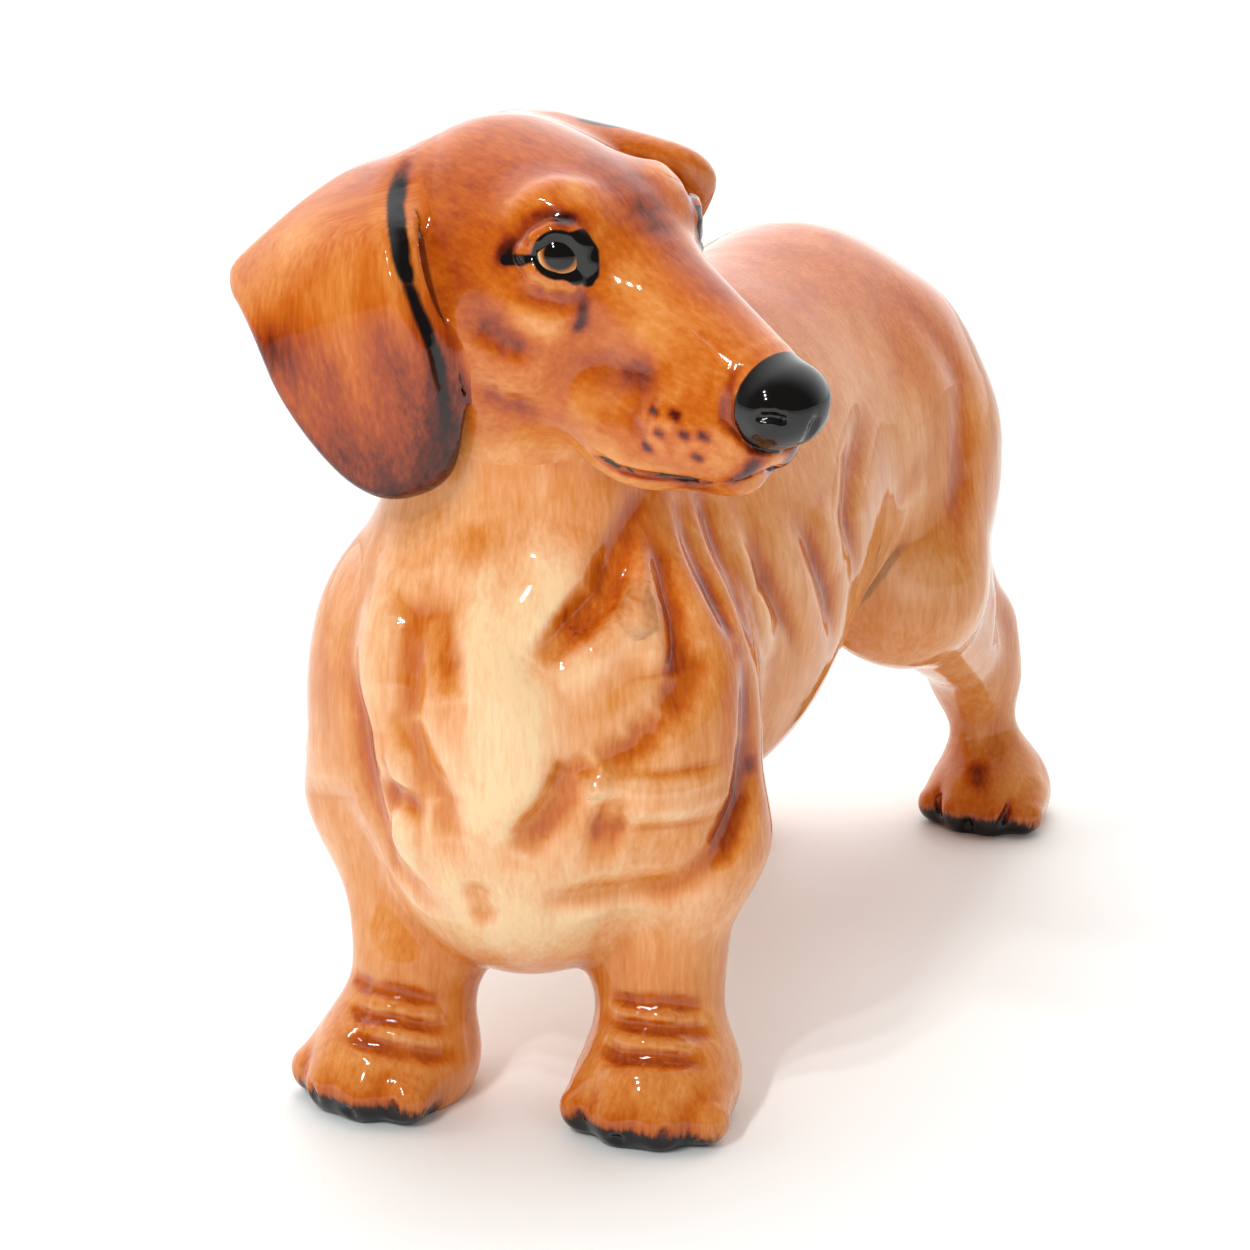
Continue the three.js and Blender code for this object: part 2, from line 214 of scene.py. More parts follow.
def melt(forms, p):
    """Signed distance to forms that are smoothed into each other."""
    found = np.full(len(p), 1e3)
    for form in forms:
        middle, span = form.around()
        away = np.sqrt(((p - middle) ** 2).sum(axis=1)) - span
        i = np.nonzero(away < found + 1.6 * form.blend + 1.5)[0]
        d = form.distance(p[i])
        near = np.clip(1 - np.abs(found[i] - d) / form.blend, 0, 1)
        found[i] = np.minimum(found[i], d) - near * near * form.blend / 4
    return found


# ------------------------------------------------------------------ strokes of the modelling tool
class Stroke:
    """A pull of the tool along a line: a groove if its height is negative, a ridge if it is positive."""

    def __init__(self, points, width, height, taper=1.0):
        self.points = np.array(points, float)
        self.width = width
        self.height = height
        self.taper = taper
        self.low = self.points.min(axis=0) - 2.6 * width
        self.high = self.points.max(axis=0) + 2.6 * width

    def near(self, p):
        return np.nonzero(((p > self.low) & (p < self.high)).all(axis=1))[0]

    def strength(self, p):
        """From 1 on the line to 0 away from it, fading towards both ends."""
        best = np.full(len(p), 1e9)
        where = np.zeros(len(p))
        steps = len(self.points) - 1
        for i, (a, b) in enumerate(zip(self.points[:-1], self.points[1:])):
            e = b - a
            q = p - a
            t = np.clip(q @ e / max(e @ e, 1e-9), 0, 1)
            d = np.linalg.norm(q - t[:, None] * e, axis=1)
            closer = d < best
            best = np.where(closer, d, best)
            where = np.where(closer, (i + t) / steps, where)
        fade = 1.0
        if self.taper:
            fade = np.clip(np.minimum(where, 1 - where) / (0.35 * self.taper) + 0.12, 0, 1)
        return np.exp(-((best / self.width) ** 2)) * fade

    def add(self, p, total):
        i = self.near(p)
        if len(i):
            total[i] += self.height * self.strength(p[i])


class Clay:
    """A field of forms and tool strokes, whose zero surface is the model's skin."""

    def __init__(self, forms, strokes=()):
        self.forms = forms
        self.strokes = strokes

    def depth(self, p):
        return melt(self.forms, p) - brushed(self.strokes, p)

    def slope(self, p, step=0.06):
        corners = np.array([(1, 1, 1), (1, -1, -1), (-1, 1, -1), (-1, -1, 1)], float)
        return sum(c * self.depth(p + c * step)[:, None] for c in corners) / (4 * step)

    def settle(self, p, rounds=3):
        """Moves points onto the skin."""
        for _ in range(rounds):
            g = self.slope(p)
            size = np.maximum((g * g).sum(axis=1), 0.15)
            step = np.clip(self.depth(p) / size, -1.2, 1.2)
            p = p - g * step[:, None]
        return p


# ------------------------------------------------------------------ the trunk, neck and legs
CHEST = [
    Lump((0, 28, 53.5), (21.5, 34, 24), 8),
    Lump((0, -1, 44), (19, 17.5, 24), 9),
    Lump((0, 1, 26.5), (13, 13, 12.5), 9),
    Lump((0, 28, 44), (18.5, 23, 20), 9),
    Lump((0, 53, 58), (17.5, 27, 18.5), 12),
    Lump((0, 70, 60), (16.5, 18, 18), 12),
    Limb((0, 14, 66), (0, 66, 67), 9, 10.5, 12),
    *both_sides(
        lambda side: [
            Lump((side * 15.5, 1, 43), (8.5, 11, 16), 7),
            Lump((side * 12.5, 73, 53), (8.5, 14.5, 19), 8),
        ]
    ),
]
NECK_CUT = (Vector((0, -2, 78.5)), Vector((0.22, -0.45, 1)).normalized())
NECK = [
    Limb((0, 2, 58), (0, -2, 87), 14, 12.6, 9),
    Limb((0, 18, 68), (-1, 3, 84), 8.5, 8.5, 9),
]


# each paw's middle on the table, and its width
PAWS = ((15.5, -1, 17.8), (-12.5, -7.5, 17.8), (15.75, 98, 16), (-15.75, 78, 16))


def paw(x, y, width, outward):
    """A pad with four toes."""
    a = math.radians(outward)
    turn = np.array([(math.cos(a), -math.sin(a), 0), (math.sin(a), math.cos(a), 0), (0, 0, 1)])

    def spot(ahead, right, up):
        return np.array((x, y, 0)) + turn @ np.array((right, -ahead, up))

    forms = [Lump(spot(0, 0, width * 0.2), (width * 0.47, width * 0.54, width * 0.42), 4, turn)]
    for across in (-0.36, -0.125, 0.125, 0.36):
        reach = 0.42 if abs(across) < 0.2 else 0.3
        knuckle = spot(width * 0.12, width * across * 0.8, width * 0.24)
        tip = spot(width * reach, width * across, width * 0.15)
        forms.append(Limb(knuckle, tip, width * 0.17, width * 0.15, 1.5))
    return forms


def foreleg(side):
    x, y = 1.5 + side * 14, -1 if side > 0 else -7.5
    wrist = (x - side * 1.5, y + 3.5, 15)
    elbow = (side * 18, 3 + y * 0.35, 31)
    return [
        Limb((x, y + 2, 5.4), wrist, 6.8, 6.0, 3),
        Limb(wrist, elbow, 6.0, 6.8, 4),
        Limb(elbow, (side * 13.5, 2 + y * 0.35, 50), 6.8, 7.6, 5),
        *paw(x, y, 17.8, side * 12),
    ]


def hind_leg(side):
    x, y = side * 15.75, 98 if side > 0 else 78
    hock = (x - side * 2.6, y - 0.5, 19.5)
    heel = (x - side * 2.6, y + 1.6, 25.5)
    stifle = (side * 15.5, y - 32, 40)
    hip = (side * 11, 75, 54)
    return [
        Limb((x - side, y + 1.5, 6.4), hock, 4.2, 3.9, 3),
        Limb(hock, heel, 3.9, 2.4, 3),
        Limb(hock, stifle, 4.2, 8.0, 6),
        Limb(heel, hip, 2.7, 8.6, 6),
        Limb(stifle, hip, 8.0, 9.4, 8),
        Limb((side * 15, y - 13, 33), (side * 13, y - 22, 48), 3.6, 7, 5),
        *paw(x, y, 16, side * 4),
    ]


LEGS = {
    "left_foreleg": foreleg(1),
    "right_foreleg": foreleg(-1),
    "left_hind_leg": hind_leg(1),
    "right_hind_leg": hind_leg(-1),
}
TAIL_POINTS = [(0, 82, 65), (-0.5, 94, 61), (-2, 103, 50), (-3.5, 106, 36), (-3, 105, 22.5)]
TAIL_RADII = [4.5, 3.8, 3.2, 2.5, 1.8]
TAIL = [
    Limb(a, b, ra, rb, 2.5)
    for a, b, ra, rb in zip(TAIL_POINTS, TAIL_POINTS[1:], TAIL_RADII, TAIL_RADII[1:])
]

# ------------------------------------------------------------------ the head: ahead, left, up
SKULL = np.array((0, -2.5, 93.0))
TURN, NOD = math.radians(70.7 - 90), math.radians(8.5)
HEAD_AXES = np.array(
    Matrix.Rotation(TURN, 3, "Z") @ Matrix.Rotation(NOD, 3, "Y")
)  # columns: ahead, left, up


def on_head(ahead, left, up):
    return SKULL + HEAD_AXES @ np.array((ahead, left, up), float)


def head_lump(place, radii, blend, nod=0):
    turn = HEAD_AXES @ np.array(Matrix.Rotation(math.radians(nod), 3, "Y"))
    return Lump(on_head(*place), radii, blend, turn)


def head_limb(start, end, start_radius, end_radius, blend):
    return Limb(on_head(*start), on_head(*end), start_radius, end_radius, blend)


EYE_RADIUS = 3.2


class Eye:
    """Where an eyeball sits and looks: its own axes run to the nose, up the lid and out."""

    def __init__(self, side):
        self.centre = on_head(14.3, side * 7.45, 4.1)
        gaze = unit(HEAD_AXES @ np.array((0.64, side * 0.72, 0.24)))
        nose = unit(np.cross(gaze, HEAD_AXES[:, 2] * side))
        self.axes = np.stack([nose, np.cross(nose, gaze) * side, gaze])

    def at(self, nose, up, reach=EYE_RADIUS + 0.05):
        """A point of the lids, as far from the eye's middle as reach."""
        out = math.sqrt(max(reach**2 - nose**2 - up**2, 0.3))
        return self.centre + unit((nose, up, out)) * reach @ self.axes


EYES = {"near": Eye(-1), "far": Eye(1)}


def eye_rims(p):
    """The black rims of the lids: from 1 beside an eyeball to 0 on the brow and cheek."""
    best = np.zeros(len(p))
    for eye in EYES.values():
        nose, up, out = ((p - eye.centre) @ eye.axes.T).T
        reach = np.hypot(nose / 1.06, up) + np.where(out < 0, 9.0, 0.0)
        width = 2.4 + 1.0 * smooth(nose, 0.6, 2.3)
        best = np.maximum(best, np.clip(0.5 + (width - reach) / 0.9, 0, 1))
    return best


UPPER_LID = [(-3.0, -0.5), (-2.1, 1.1), (-0.7, 2.2), (0.8, 2.2), (2.1, 1.3), (2.8, -0.2), (3.0, -1.9)]
LOWER_LID = [(-3.0, -0.5), (-2.0, -1.7), (-0.4, -2.4), (1.3, -2.4), (3.0, -1.9)]


def lid(eye, line, radius):
    points = [eye.at(*q) for q in line]
    return [Limb(a, b, radius, radius, 1.1) for a, b in zip(points, points[1:])]


HEAD = [
    head_lump((0, 0, -0.5), (13.4, 12.6, 12.8), 6),
    head_lump((10, 0, 2.4), (9.5, 10.2, 8.5), 5, 15),
    head_limb((14, 0, 0.8), (33.4, 0, -4.3), 7.6, 5.4, 5),
    head_limb((4, 0, -9), (29.5, 0, -11.4), 7.8, 4.3, 4),
    *both_sides(
        lambda side: [
            head_lump((6, side * 6.5, -6), (10, 6, 9), 6),
            head_lump((22, side * 3.8, -12.0), (8.5, 4.0, 5.0), 3, 6),
            head_lump((28, side * 2.9, -8.4), (9.5, 4.2, 5.4), 2.5, 12),
            head_lump((12.2, side * 6.3, 6.6), (5.2, 3.4, 3.0), 3),
        ]
    ),
    head_lump((34.4, 0, -8.2), (3.9, 4.4, 4.0), 2.5),
    head_lump((31, 0, -12.9), (5.2, 3.7, 2.7), 1.2, 6),
    head_lump((38, 0, -4.5), (4.3, 5.0, 4.2), 1.3, 12),
    *(bar for eye in EYES.values() for bar in lid(eye, UPPER_LID, 0.7)),
    *(bar for eye in EYES.values() for bar in lid(eye, LOWER_LID, 0.6)),
]

EAR_OUTLINE = [
    (-3.5, 1), (-1, 3.5), (1.2, 4.6), (4.8, 8), (9.7, 9.5), (15.5, 10), (21.3, 8.7), (25.5, 6.8),
    (29.5, 4), (31, 0), (30, -2.4), (27, -4.5), (20.5, -7), (15.5, -8.3), (12, -10.4), (9.5, -13.5),
    (6.5, -15.2), (3.2, -11.5), (-0.5, -8.5), (-3.5, -5),
]  # fmt: skip
EAR_CUP = [
    (1, 5, 1.4), (-1, -5, -1.4), (8.8, -14, 8), (30.5, 0, 0), (21.9, 9.4, -2), (16.9, 4.7, 5.5),
    (10, -5, 8), (20, -6, 7), (10, 5, 4.5), (4, -5, 4.5),
]  # fmt: skip


PRICKED_CUP = [
    (-3.5, 0, -2.5), (0, 0, 0.3), (0, 5, 0.5), (0, -5, 0), (6, 5, 5.5), (6, -5, 5), (12, 8, 7.5),
    (12, -8, 7), (18, 0, 7), (25, 0, 3.5), (31, 0, -1.5),
]  # fmt: skip


FLAP_OUTLINE = [
    (-3.5, 1), (-1, 4.5), (1.2, 8.6), (4.4, 13.6), (8.6, 14), (12.6, 10), (17, 4.6), (23, 2.4),
    (27.5, 2), (29, -1), (28, -3.4), (25, -5.5), (20.5, -7), (15.5, -8.3), (12, -9.4), (9.5, -10.5),
    (6.5, -11), (3.2, -10), (-0.5, -8.5), (-3.5, -5),
]  # fmt: skip


def ear(side, root, down, out, cup, outline):
    out = (out[0], side * out[1], out[2])
    root = on_head(root[0], side * root[1], root[2])
    down = HEAD_AXES @ np.array((down[0], side * down[1], down[2]), float)
    leaf = Leaf(root, down, HEAD_AXES @ np.array(out, float), outline, cup, 3.2, 3)
    if side > 0:
        leaf.axes[1] *= -1
    return leaf


RIGHT_EAR = ear(-1, (-7, 11.5, 5), (10.7, 4.3, -28.3), (0, 1, 0), EAR_CUP, EAR_OUTLINE)
LEFT_EAR = ear(1, (-5, 8.6, 8.3), (6.8, 8.8, -23.5), (-0.1, 1, 0.55), PRICKED_CUP, FLAP_OUTLINE)
EARS = {"right_ear": RIGHT_EAR, "left_ear": LEFT_EAR}

# ------------------------------------------------------------------ tool strokes
def crease(leaf, line, width):
    """The line where an ear's front edge meets the cheek: a groove, painted black."""
    points = [leaf.place(across, along)[0] + leaf.axes[2] * 1.0 for across, along in line]
    return Stroke(points, width, 1.0, 0.9)


CREASES = [
    crease(RIGHT_EAR, [(-2.6, 1.4), (-0.6, 3.4), (1.6, 5.2), (4.2, 7), (7.7, 8.5), (11, 9.5), (14, 9.8)], 1.2),
    crease(RIGHT_EAR, [(4, 7), (9, 9), (12, 9.6), (16, 9.9), (20, 9.1), (25, 7)], 1.05),
    crease(LEFT_EAR, [(-2, 3.4), (1.2, 6.6), (4.6, 9.8)], 0.9),
]


def head_strokes(points, width, height, taper=1.0):
    """The same stroke on both sides of the face."""
    return [
        Stroke([on_head(f, side * left, u) for f, left, u in points], width, height, taper)
        for side in (-1, 1)
    ]


CHEST_STROKES = 31
BODY_STROKES = [
    # the deep fold under the turned neck, and the folds beside it
    Stroke([(14.5, -1.5, 68.5), (14, -7, 62.5), (13.5, -9.5, 59.5), (11.5, -12.5, 57), (9, -15, 53.5)], 2.0, -2.48),
    Stroke([(16, -5, 65), (16.5, -8, 59), (14, -11.5, 54.5), (11, -14.5, 51)], 2.4, 1.17),
    Stroke([(10, -9, 66), (9.5, -12.5, 60), (6.5, -15.5, 55)], 3.5, 1.04),
    Stroke([(15, -1.5, 67.5), (17, -2.5, 62), (20, -5.5, 55), (20, -7, 51)], 1.5, -1.04),
    Stroke([(16, 3.5, 66.5), (19.5, 2, 60), (23, 1, 53)], 1.5, -1.17),
    Stroke([(16, 8, 66), (20.5, 7.5, 58), (23, 6, 51)], 1.6, -1.04),
    Stroke([(17.5, 11, 64), (22, 13, 55), (21, 16, 46)], 2.2, 0.65),
    # furrows down the near side of the chest
    Stroke([(-7.5, -14.5, 58.5), (-4.5, -16, 56.5), (-4.5, -17.5, 49.5), (-5, -18, 46.5), (-2.5, -18, 41.5),
            (-0.5, -18, 38.5), (0, -17, 34)], 1.9, -1.7),
    Stroke([(-3, -15, 61.5), (-0.5, -17, 55), (1, -18, 49.5)], 2.3, -0.91),
    Stroke([(-8, -13, 61.5), (-9, -15, 52), (-8.5, -17, 44)], 3.0, 0.91),
    Stroke([(-13, -13.5, 50), (-11.5, -15, 44.5), (-11, -14.5, 36.5), (-9.5, -13, 28.5), (-3, -14.5, 25)], 2.0, -1.17),
    Stroke([(-9.5, -15, 37), (-6, -17, 37.5), (-2.5, -17.5, 36.5)], 2.2, -1.3),
    Stroke([(-7, -16.5, 40.5), (-3.5, -18, 40.5)], 2.4, 0.78),
    Stroke([(-8, -15.5, 33.5), (-4, -16.5, 33)], 3.0, 0.78),
    # the breastbone ridge, the pit beside it and the folds between the legs
    Stroke([(2, -15.5, 59.5), (6, -17, 50), (8, -17, 41.5), (5, -16.5, 34)], 4.1, 1.17),
    Stroke([(14.5, -13.5, 43.5), (12.5, -14.5, 42), (11.5, -15, 39.5), (8.5, -15.5, 35.5), (7, -15.5, 33)], 2.0, -1.96),
    Stroke([(13.2, -14.3, 41), (14.8, -13.6, 40.6)], 1.5, 0.9, 0),
    Stroke([(15, -13, 43), (18, -11, 45), (20, -9, 48)], 1.9, -1.17),
    Stroke([(13, -12.5, 37), (17, -10.5, 36)], 3.2, -0.78),
    Stroke([(8, -13, 27), (12.5, -10, 27.5), (17.5, -6.5, 28), (22, -4.5, 29)], 1.8, -0.78),
    Stroke([(1.5, -16, 29.5), (2, -15, 26.5), (2.5, -13.5, 23.5)], 1.5, -0.78),
    Stroke([(10, -13, 24.5), (15, -10, 25), (20, -7, 26)], 2.7, 0.78),
    # far shoulder and upper arm
    Stroke([(23.5, 2.5, 51), (25, 1.5, 43), (24.5, 0, 37), (23.5, -3, 32), (20, -6, 28.5)], 1.9, -1.44),
    Stroke([(21.5, -3.5, 54.5), (21.5, -6, 51), (19.5, -9.5, 46.5)], 2.2, -1.04),
    Stroke([(20, -8, 42), (20, -8, 36)], 5.4, 1.04),
    Stroke([(16.5, -7, 59), (19, -8.5, 52)], 2.4, 0.78),
    Stroke([(-17.5, -7.5, 33), (-19, -6, 40)], 4.7, 0.78),
    # ribs and flank
    Stroke([(18.5, 13, 61), (20.5, 17.5, 52.5), (18, 27.5, 40)], 2.0, -0.72),
    Stroke([(19.5, 18, 60), (20.5, 22, 51), (18.5, 28, 42)], 2.4, 0.45),
    Stroke([(20, 22, 61), (21.5, 27, 52), (19.5, 32, 43)], 2.0, -0.72),
    Stroke([(20, 27, 60), (21, 31, 52)], 2.4, 0.45),
    Stroke([(19, 46.5, 67), (20.5, 38, 61.5), (21.5, 34.5, 57), (21, 37, 50)], 2.2, -1.08),
    Stroke([(18.5, 56, 68), (20, 56.5, 57), (21, 58, 48)], 5.4, 0.63),
    Stroke([(15, 65, 74.5), (21, 69, 64.5), (23, 66.5, 54.5), (22, 62, 45)], 2.7, -0.54),
    *(
        Stroke(line, width, height)
        for side in (-1,)
        for line, width, height in (
            ([(side * 19, 14, 60), (side * 20.5, 20, 50)], 2.2, -0.54),
            ([(side * 20, 24, 60), (side * 21, 29, 50)], 2.2, -0.54),
            ([(side * 19, 44, 66), (side * 21, 37, 58), (side * 20, 40, 49)], 2.4, -0.81),
            ([(side * 18, 60, 66), (side * 21, 62, 52)], 5.4, 0.54),
        )
    ),
    # between the toes
    *(
        Stroke([(x + across * width, y - width * 0.02, width * 0.42),
                (x + across * width * 1.15, y - width * 0.36, width * 0.27),
                (x + across * width * 1.2, y - width * 0.62, 0)], 0.75, -0.75, 0.5)
        for x, y, width in PAWS
        for across in (-0.23, 0.0, 0.23)
    ),
    # wrinkles over the wrists
    *(
        Stroke(line, width, height, 0.7)
        for line in (
            [(11.5, -3, 14), (14.5, -4.8, 14), (18, -4, 14.3), (21, -0.5, 13)],
            [(12, -4.5, 11.6), (16, -5.4, 12), (20, -3.6, 11.6), (22, -0.5, 10.5)],
            [(11.5, -6, 9), (14.5, -7.4, 9), (18.5, -6.6, 9.4), (22.3, -3, 8)],
            [(-16, -9, 13), (-13, -11.6, 13.2), (-9.5, -11.3, 13), (-6, -8.6, 11.6)],
            [(-15, -11, 10.2), (-12.5, -13, 10.3), (-9, -12.2, 10.5), (-5.3, -9, 8.6)],
            [(-14, -13.6, 8.4), (-12, -14.6, 8.4), (-7.5, -13.2, 7.6), (-4, -8.5, 5.6)],
        )
        for width, height in ((1.05, -0.8),)
    ),
    *(
        Stroke(line, 0.9, 0.5, 0.7)
        for line in (
            [(12, -4, 12.8), (16, -5.4, 13), (20.5, -2.5, 12.6)],
            [(12, -5.6, 10.3), (17, -6.4, 10.8), (21.5, -3.6, 10)],
            [(-14.5, -10.6, 11.7), (-10, -12, 11.7), (-6, -9.4, 10.2)],
            [(-13.5, -12.6, 9.3), (-9, -13, 9.2), (-5, -9.5, 7.2)],
        )
    ),
]  # fmt: skip

MOUTH = [
    (21, 8, -14), (24.5, 6.9, -14.6), (28, 6, -14.2), (32, 4.6, -13.2), (35.6, 2.6, -12), (37.2, 0, -11.4)
]  # fmt: skip
HEAD_STROKES = [
    *(Stroke(line.points, 0.9, -0.7, 0.7) for line in CREASES[:2]),
    *head_strokes([(9.3, 10.8, 6), (10.8, 9.6, 8.7), (12.3, 7, 10.2), (14.5, 4.8, 10), (17, 4.9, 8.4)], 1.6, 0.42),
    *head_strokes([(11, 10.8, 5.6), (13.2, 9.6, 7.9), (16, 8, 8.2), (18.2, 6.5, 7.2)], 1.0, -0.36),
    *head_strokes([(11.9, 11.9, 1.2), (14.4, 10.9, 0), (17, 9.2, 0), (18.8, 7.9, 1.4)], 1.1, -0.27),
    *head_strokes([(12, 11.9, -1.2), (15, 10.6, -2.2), (18, 8.8, -1.8)], 1.6, 0.3),
    *head_strokes([(7.5, 14, -2.5), (12, 12.2, -4.6), (16, 9.6, -5.4)], 2.2, -0.48),
    *head_strokes([(8, 14, -6), (13.5, 11.5, -8), (18, 9, -8.5)], 2.8, 0.36),
    *head_strokes([(9, 13, -10), (12, 11, -11.4), (16, 9.4, -12)], 1.6, -0.48),
    *head_strokes([(18, 8, -6.8), (23.6, 6.6, -5.5), (28.4, 6.2, -3.6)], 2.0, -0.3),
    *head_strokes([(27, 7, -5.5), (26, 7.1, -8.5), (27.5, 6.9, -11)], 1.1, -0.21),
    *head_strokes([(28, 7, -8), (31, 6.6, -8.4)], 3.1, 0.27),
    *head_strokes(MOUTH, 0.55, -0.8, 0.4),
    *head_strokes([(35.6, 4, 0.2), (35.4, 5.2, -2.6), (35.8, 5, -6), (37.5, 3, -8.4), (38.6, 0, -9.2)], 0.6, -0.55, 0.3),
    *head_strokes([(41.2, 2.6, -4.6), (40.3, 3.7, -4.3), (39, 4.6, -4.6)], 0.45, -0.55, 0.5),
    *head_strokes([(42.4, 0, -4.4), (41.6, 0, -7.4), (39.8, 0, -10)], 0.45, -0.4, 0.4),
    *head_strokes([(17, 0.4, 10), (22, 0.2, 7.2)], 3.0, -0.15),
]  # fmt: skip

BODY_FORMS = [*CHEST, *NECK, *(f for leg in LEGS.values() for f in leg), *TAIL]
for stroke in BODY_STROKES[:CHEST_STROKES]:
    stroke.height *= 1.25
DOG = Clay([*BODY_FORMS, *HEAD], [*BODY_STROKES, *HEAD_STROKES])
EARED = Clay([*HEAD, *EARS.values()], HEAD_STROKES)


# ------------------------------------------------------------------ from clay to mesh
def remesh(mesh, voxel):
    """Blender's voxel remesh of a mesh, as a new mesh."""
    obj = bpy.data.objects.new("rough", mesh)
    bpy.context.collection.objects.link(obj)
    melt_down = obj.modifiers.new("Melt", "REMESH")
    melt_down.mode = "VOXEL"
    melt_down.voxel_size = voxel
    graph = bpy.context.evaluated_depsgraph_get()
    made = bpy.data.meshes.new_from_object(obj.evaluated_get(graph))
    bpy.data.objects.remove(obj)
    return made


def get_points(mesh):
    flat = np.empty(len(mesh.vertices) * 3, np.float32)
    mesh.vertices.foreach_get("co", flat)
    return flat.reshape(-1, 3).astype(float)


def set_points(mesh, p):
    mesh.vertices.foreach_set("co", p.astype(np.float32).ravel())
    mesh.update()


def skin(forms, clay, coarse, fine):
    """The skin of a lump of clay: primitives melted together, then settled onto the clay's surface."""
    bm = bmesh.new()
    for form in forms:
        form.mould(bm)
    mesh = bpy.data.meshes.new("rough")
    bm.to_mesh(mesh)
    bm.free()
    for voxel in (coarse, fine):
        mesh = remesh(mesh, voxel)
        set_points(mesh, clay.settle(get_points(mesh), 3))
    return mesh


def shed_crumbs(bm, least=100):
    """Removes loose bits with fewer points than least."""
    seen = set()
    crumbs = []
    for start in bm.verts:
        if start in seen:
            continue
        seen.add(start)
        bit, edge = [start], [start]
        while edge:
            for e in edge.pop().link_edges:
                for vert in e.verts:
                    if vert not in seen:
                        seen.add(vert)
                        bit.append(vert)
                        edge.append(vert)
        if len(bit) < least:
            crumbs += bit
    bmesh.ops.delete(bm, geom=crumbs, context="VERTS")


def cut(mesh, planes, keep):
    """Scores a mesh along planes, keeps the faces whose middles pass a test, and caps the cuts."""
    bm = bmesh.new()
    bm.from_mesh(mesh)
    for point, normal in planes:
        geom = [*bm.verts, *bm.edges, *bm.faces]
        bmesh.ops.bisect_plane(bm, geom=geom, dist=1e-4, plane_co=point, plane_no=normal)
    middles = np.array([f.calc_center_median() for f in bm.faces])
    wanted = keep(middles)
    bm.faces.ensure_lookup_table()
    drop = [f for f, ok in zip(bm.faces, wanted) if not ok]
    bmesh.ops.delete(bm, geom=drop, context="FACES")
    bmesh.ops.dissolve_degenerate(bm, dist=1e-4, edges=bm.edges)
    shed_crumbs(bm)
    rim = [e for e in bm.edges if e.is_boundary]
    bmesh.ops.holes_fill(bm, edges=rim, sides=0)
    bmesh.ops.triangulate(bm, faces=[f for f in bm.faces if len(f.verts) > 4])
    made = bpy.data.meshes.new("cast")
    bm.to_mesh(made)
    bm.free()
    return made


def finish_piece(name, mesh, clay, nodes, material, paint, tuck=None):
    """Paints a cast, gives it smooth normals from the clay, and puts it in its place in metres."""
    p = get_points(mesh)
    normals = clay.slope(p)
    normals /= np.maximum(np.linalg.norm(normals, axis=1), 1e-6)[:, None]
    if tuck is not None:
        p = p - normals * tuck[:, None]
    sole = p[:, 2] < 0
    p[sole, 2] = 0
    normals[sole] = (0, 0, -1)
    tone, dark, grain = paint(p, normals)
    for key, kind, values in (
        ("tone", "FLOAT", tone),
        ("dark", "FLOAT", dark),
        ("grain", "FLOAT_VECTOR", grain),
    ):
        layer = mesh.attributes.new(key, kind, "POINT")
        layer.data.foreach_set("value" if kind == "FLOAT" else "vector", values.astype(np.float32).ravel())
    set_points(mesh, ORIGIN + p * UNIT)
    mesh.shade_smooth()
    mesh.normals_split_custom_set_from_vertices(normals.tolist())
    mesh.name = name
    obj = bpy.data.objects.new(name, mesh)
    bpy.context.collection.objects.link(obj)
    mesh.materials.append(material)
    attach(obj, "root")
    if nodes:
        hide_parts(*nodes)
    return obj


# ------------------------------------------------------------------ underglaze painting
def smooth(x, low, high):
    t = np.clip((x - low) / (high - low), 0, 1)
    return t * t * (3 - 2 * t)


def hollow(clay, p, reach=1.3):
    """Positive where the skin is hollow within reach, negative on a bulge."""
    corners = np.array([(1, 1, 1), (1, -1, -1), (-1, 1, -1), (-1, -1, 1)]) / math.sqrt(3) * reach
    return clay.depth(p) - sum(clay.depth(p + c) for c in corners) / 4


def brushed(strokes, p):
    """The sum of what strokes add at each point."""
    total = np.zeros(len(p))
    for stroke in strokes:
        stroke.add(p, total)
    return total


def inked(strokes, p):
    """Ink lines: 0.5 at a line's width, more inside it."""
    best = np.zeros(len(p))
    for stroke in strokes:
        i = stroke.near(p)
        if len(i):
            best[i] = np.maximum(best[i], stroke.height * stroke.strength(p[i]))
    return best


def inside(lump, p, soft=0.5):
    """From 1 well inside a lump of space to 0 outside it."""
    return np.clip(0.5 - lump.distance(p) / soft, 0, 1)


def pool_glaze_and_shade(clay, p, tone):
    """Glaze runs off ridges and gathers, darker, in hollows; the same darkening is also painted shade in the hollows,
    and the lightening painted light on the ridges.
    """
    tone = tone - np.clip(0.12 * brushed(clay.strokes, p), -0.17, 0.1)
    return tone + np.clip(hollow(clay, p) * 0.9 + 0.03, -0.05, 0.16)


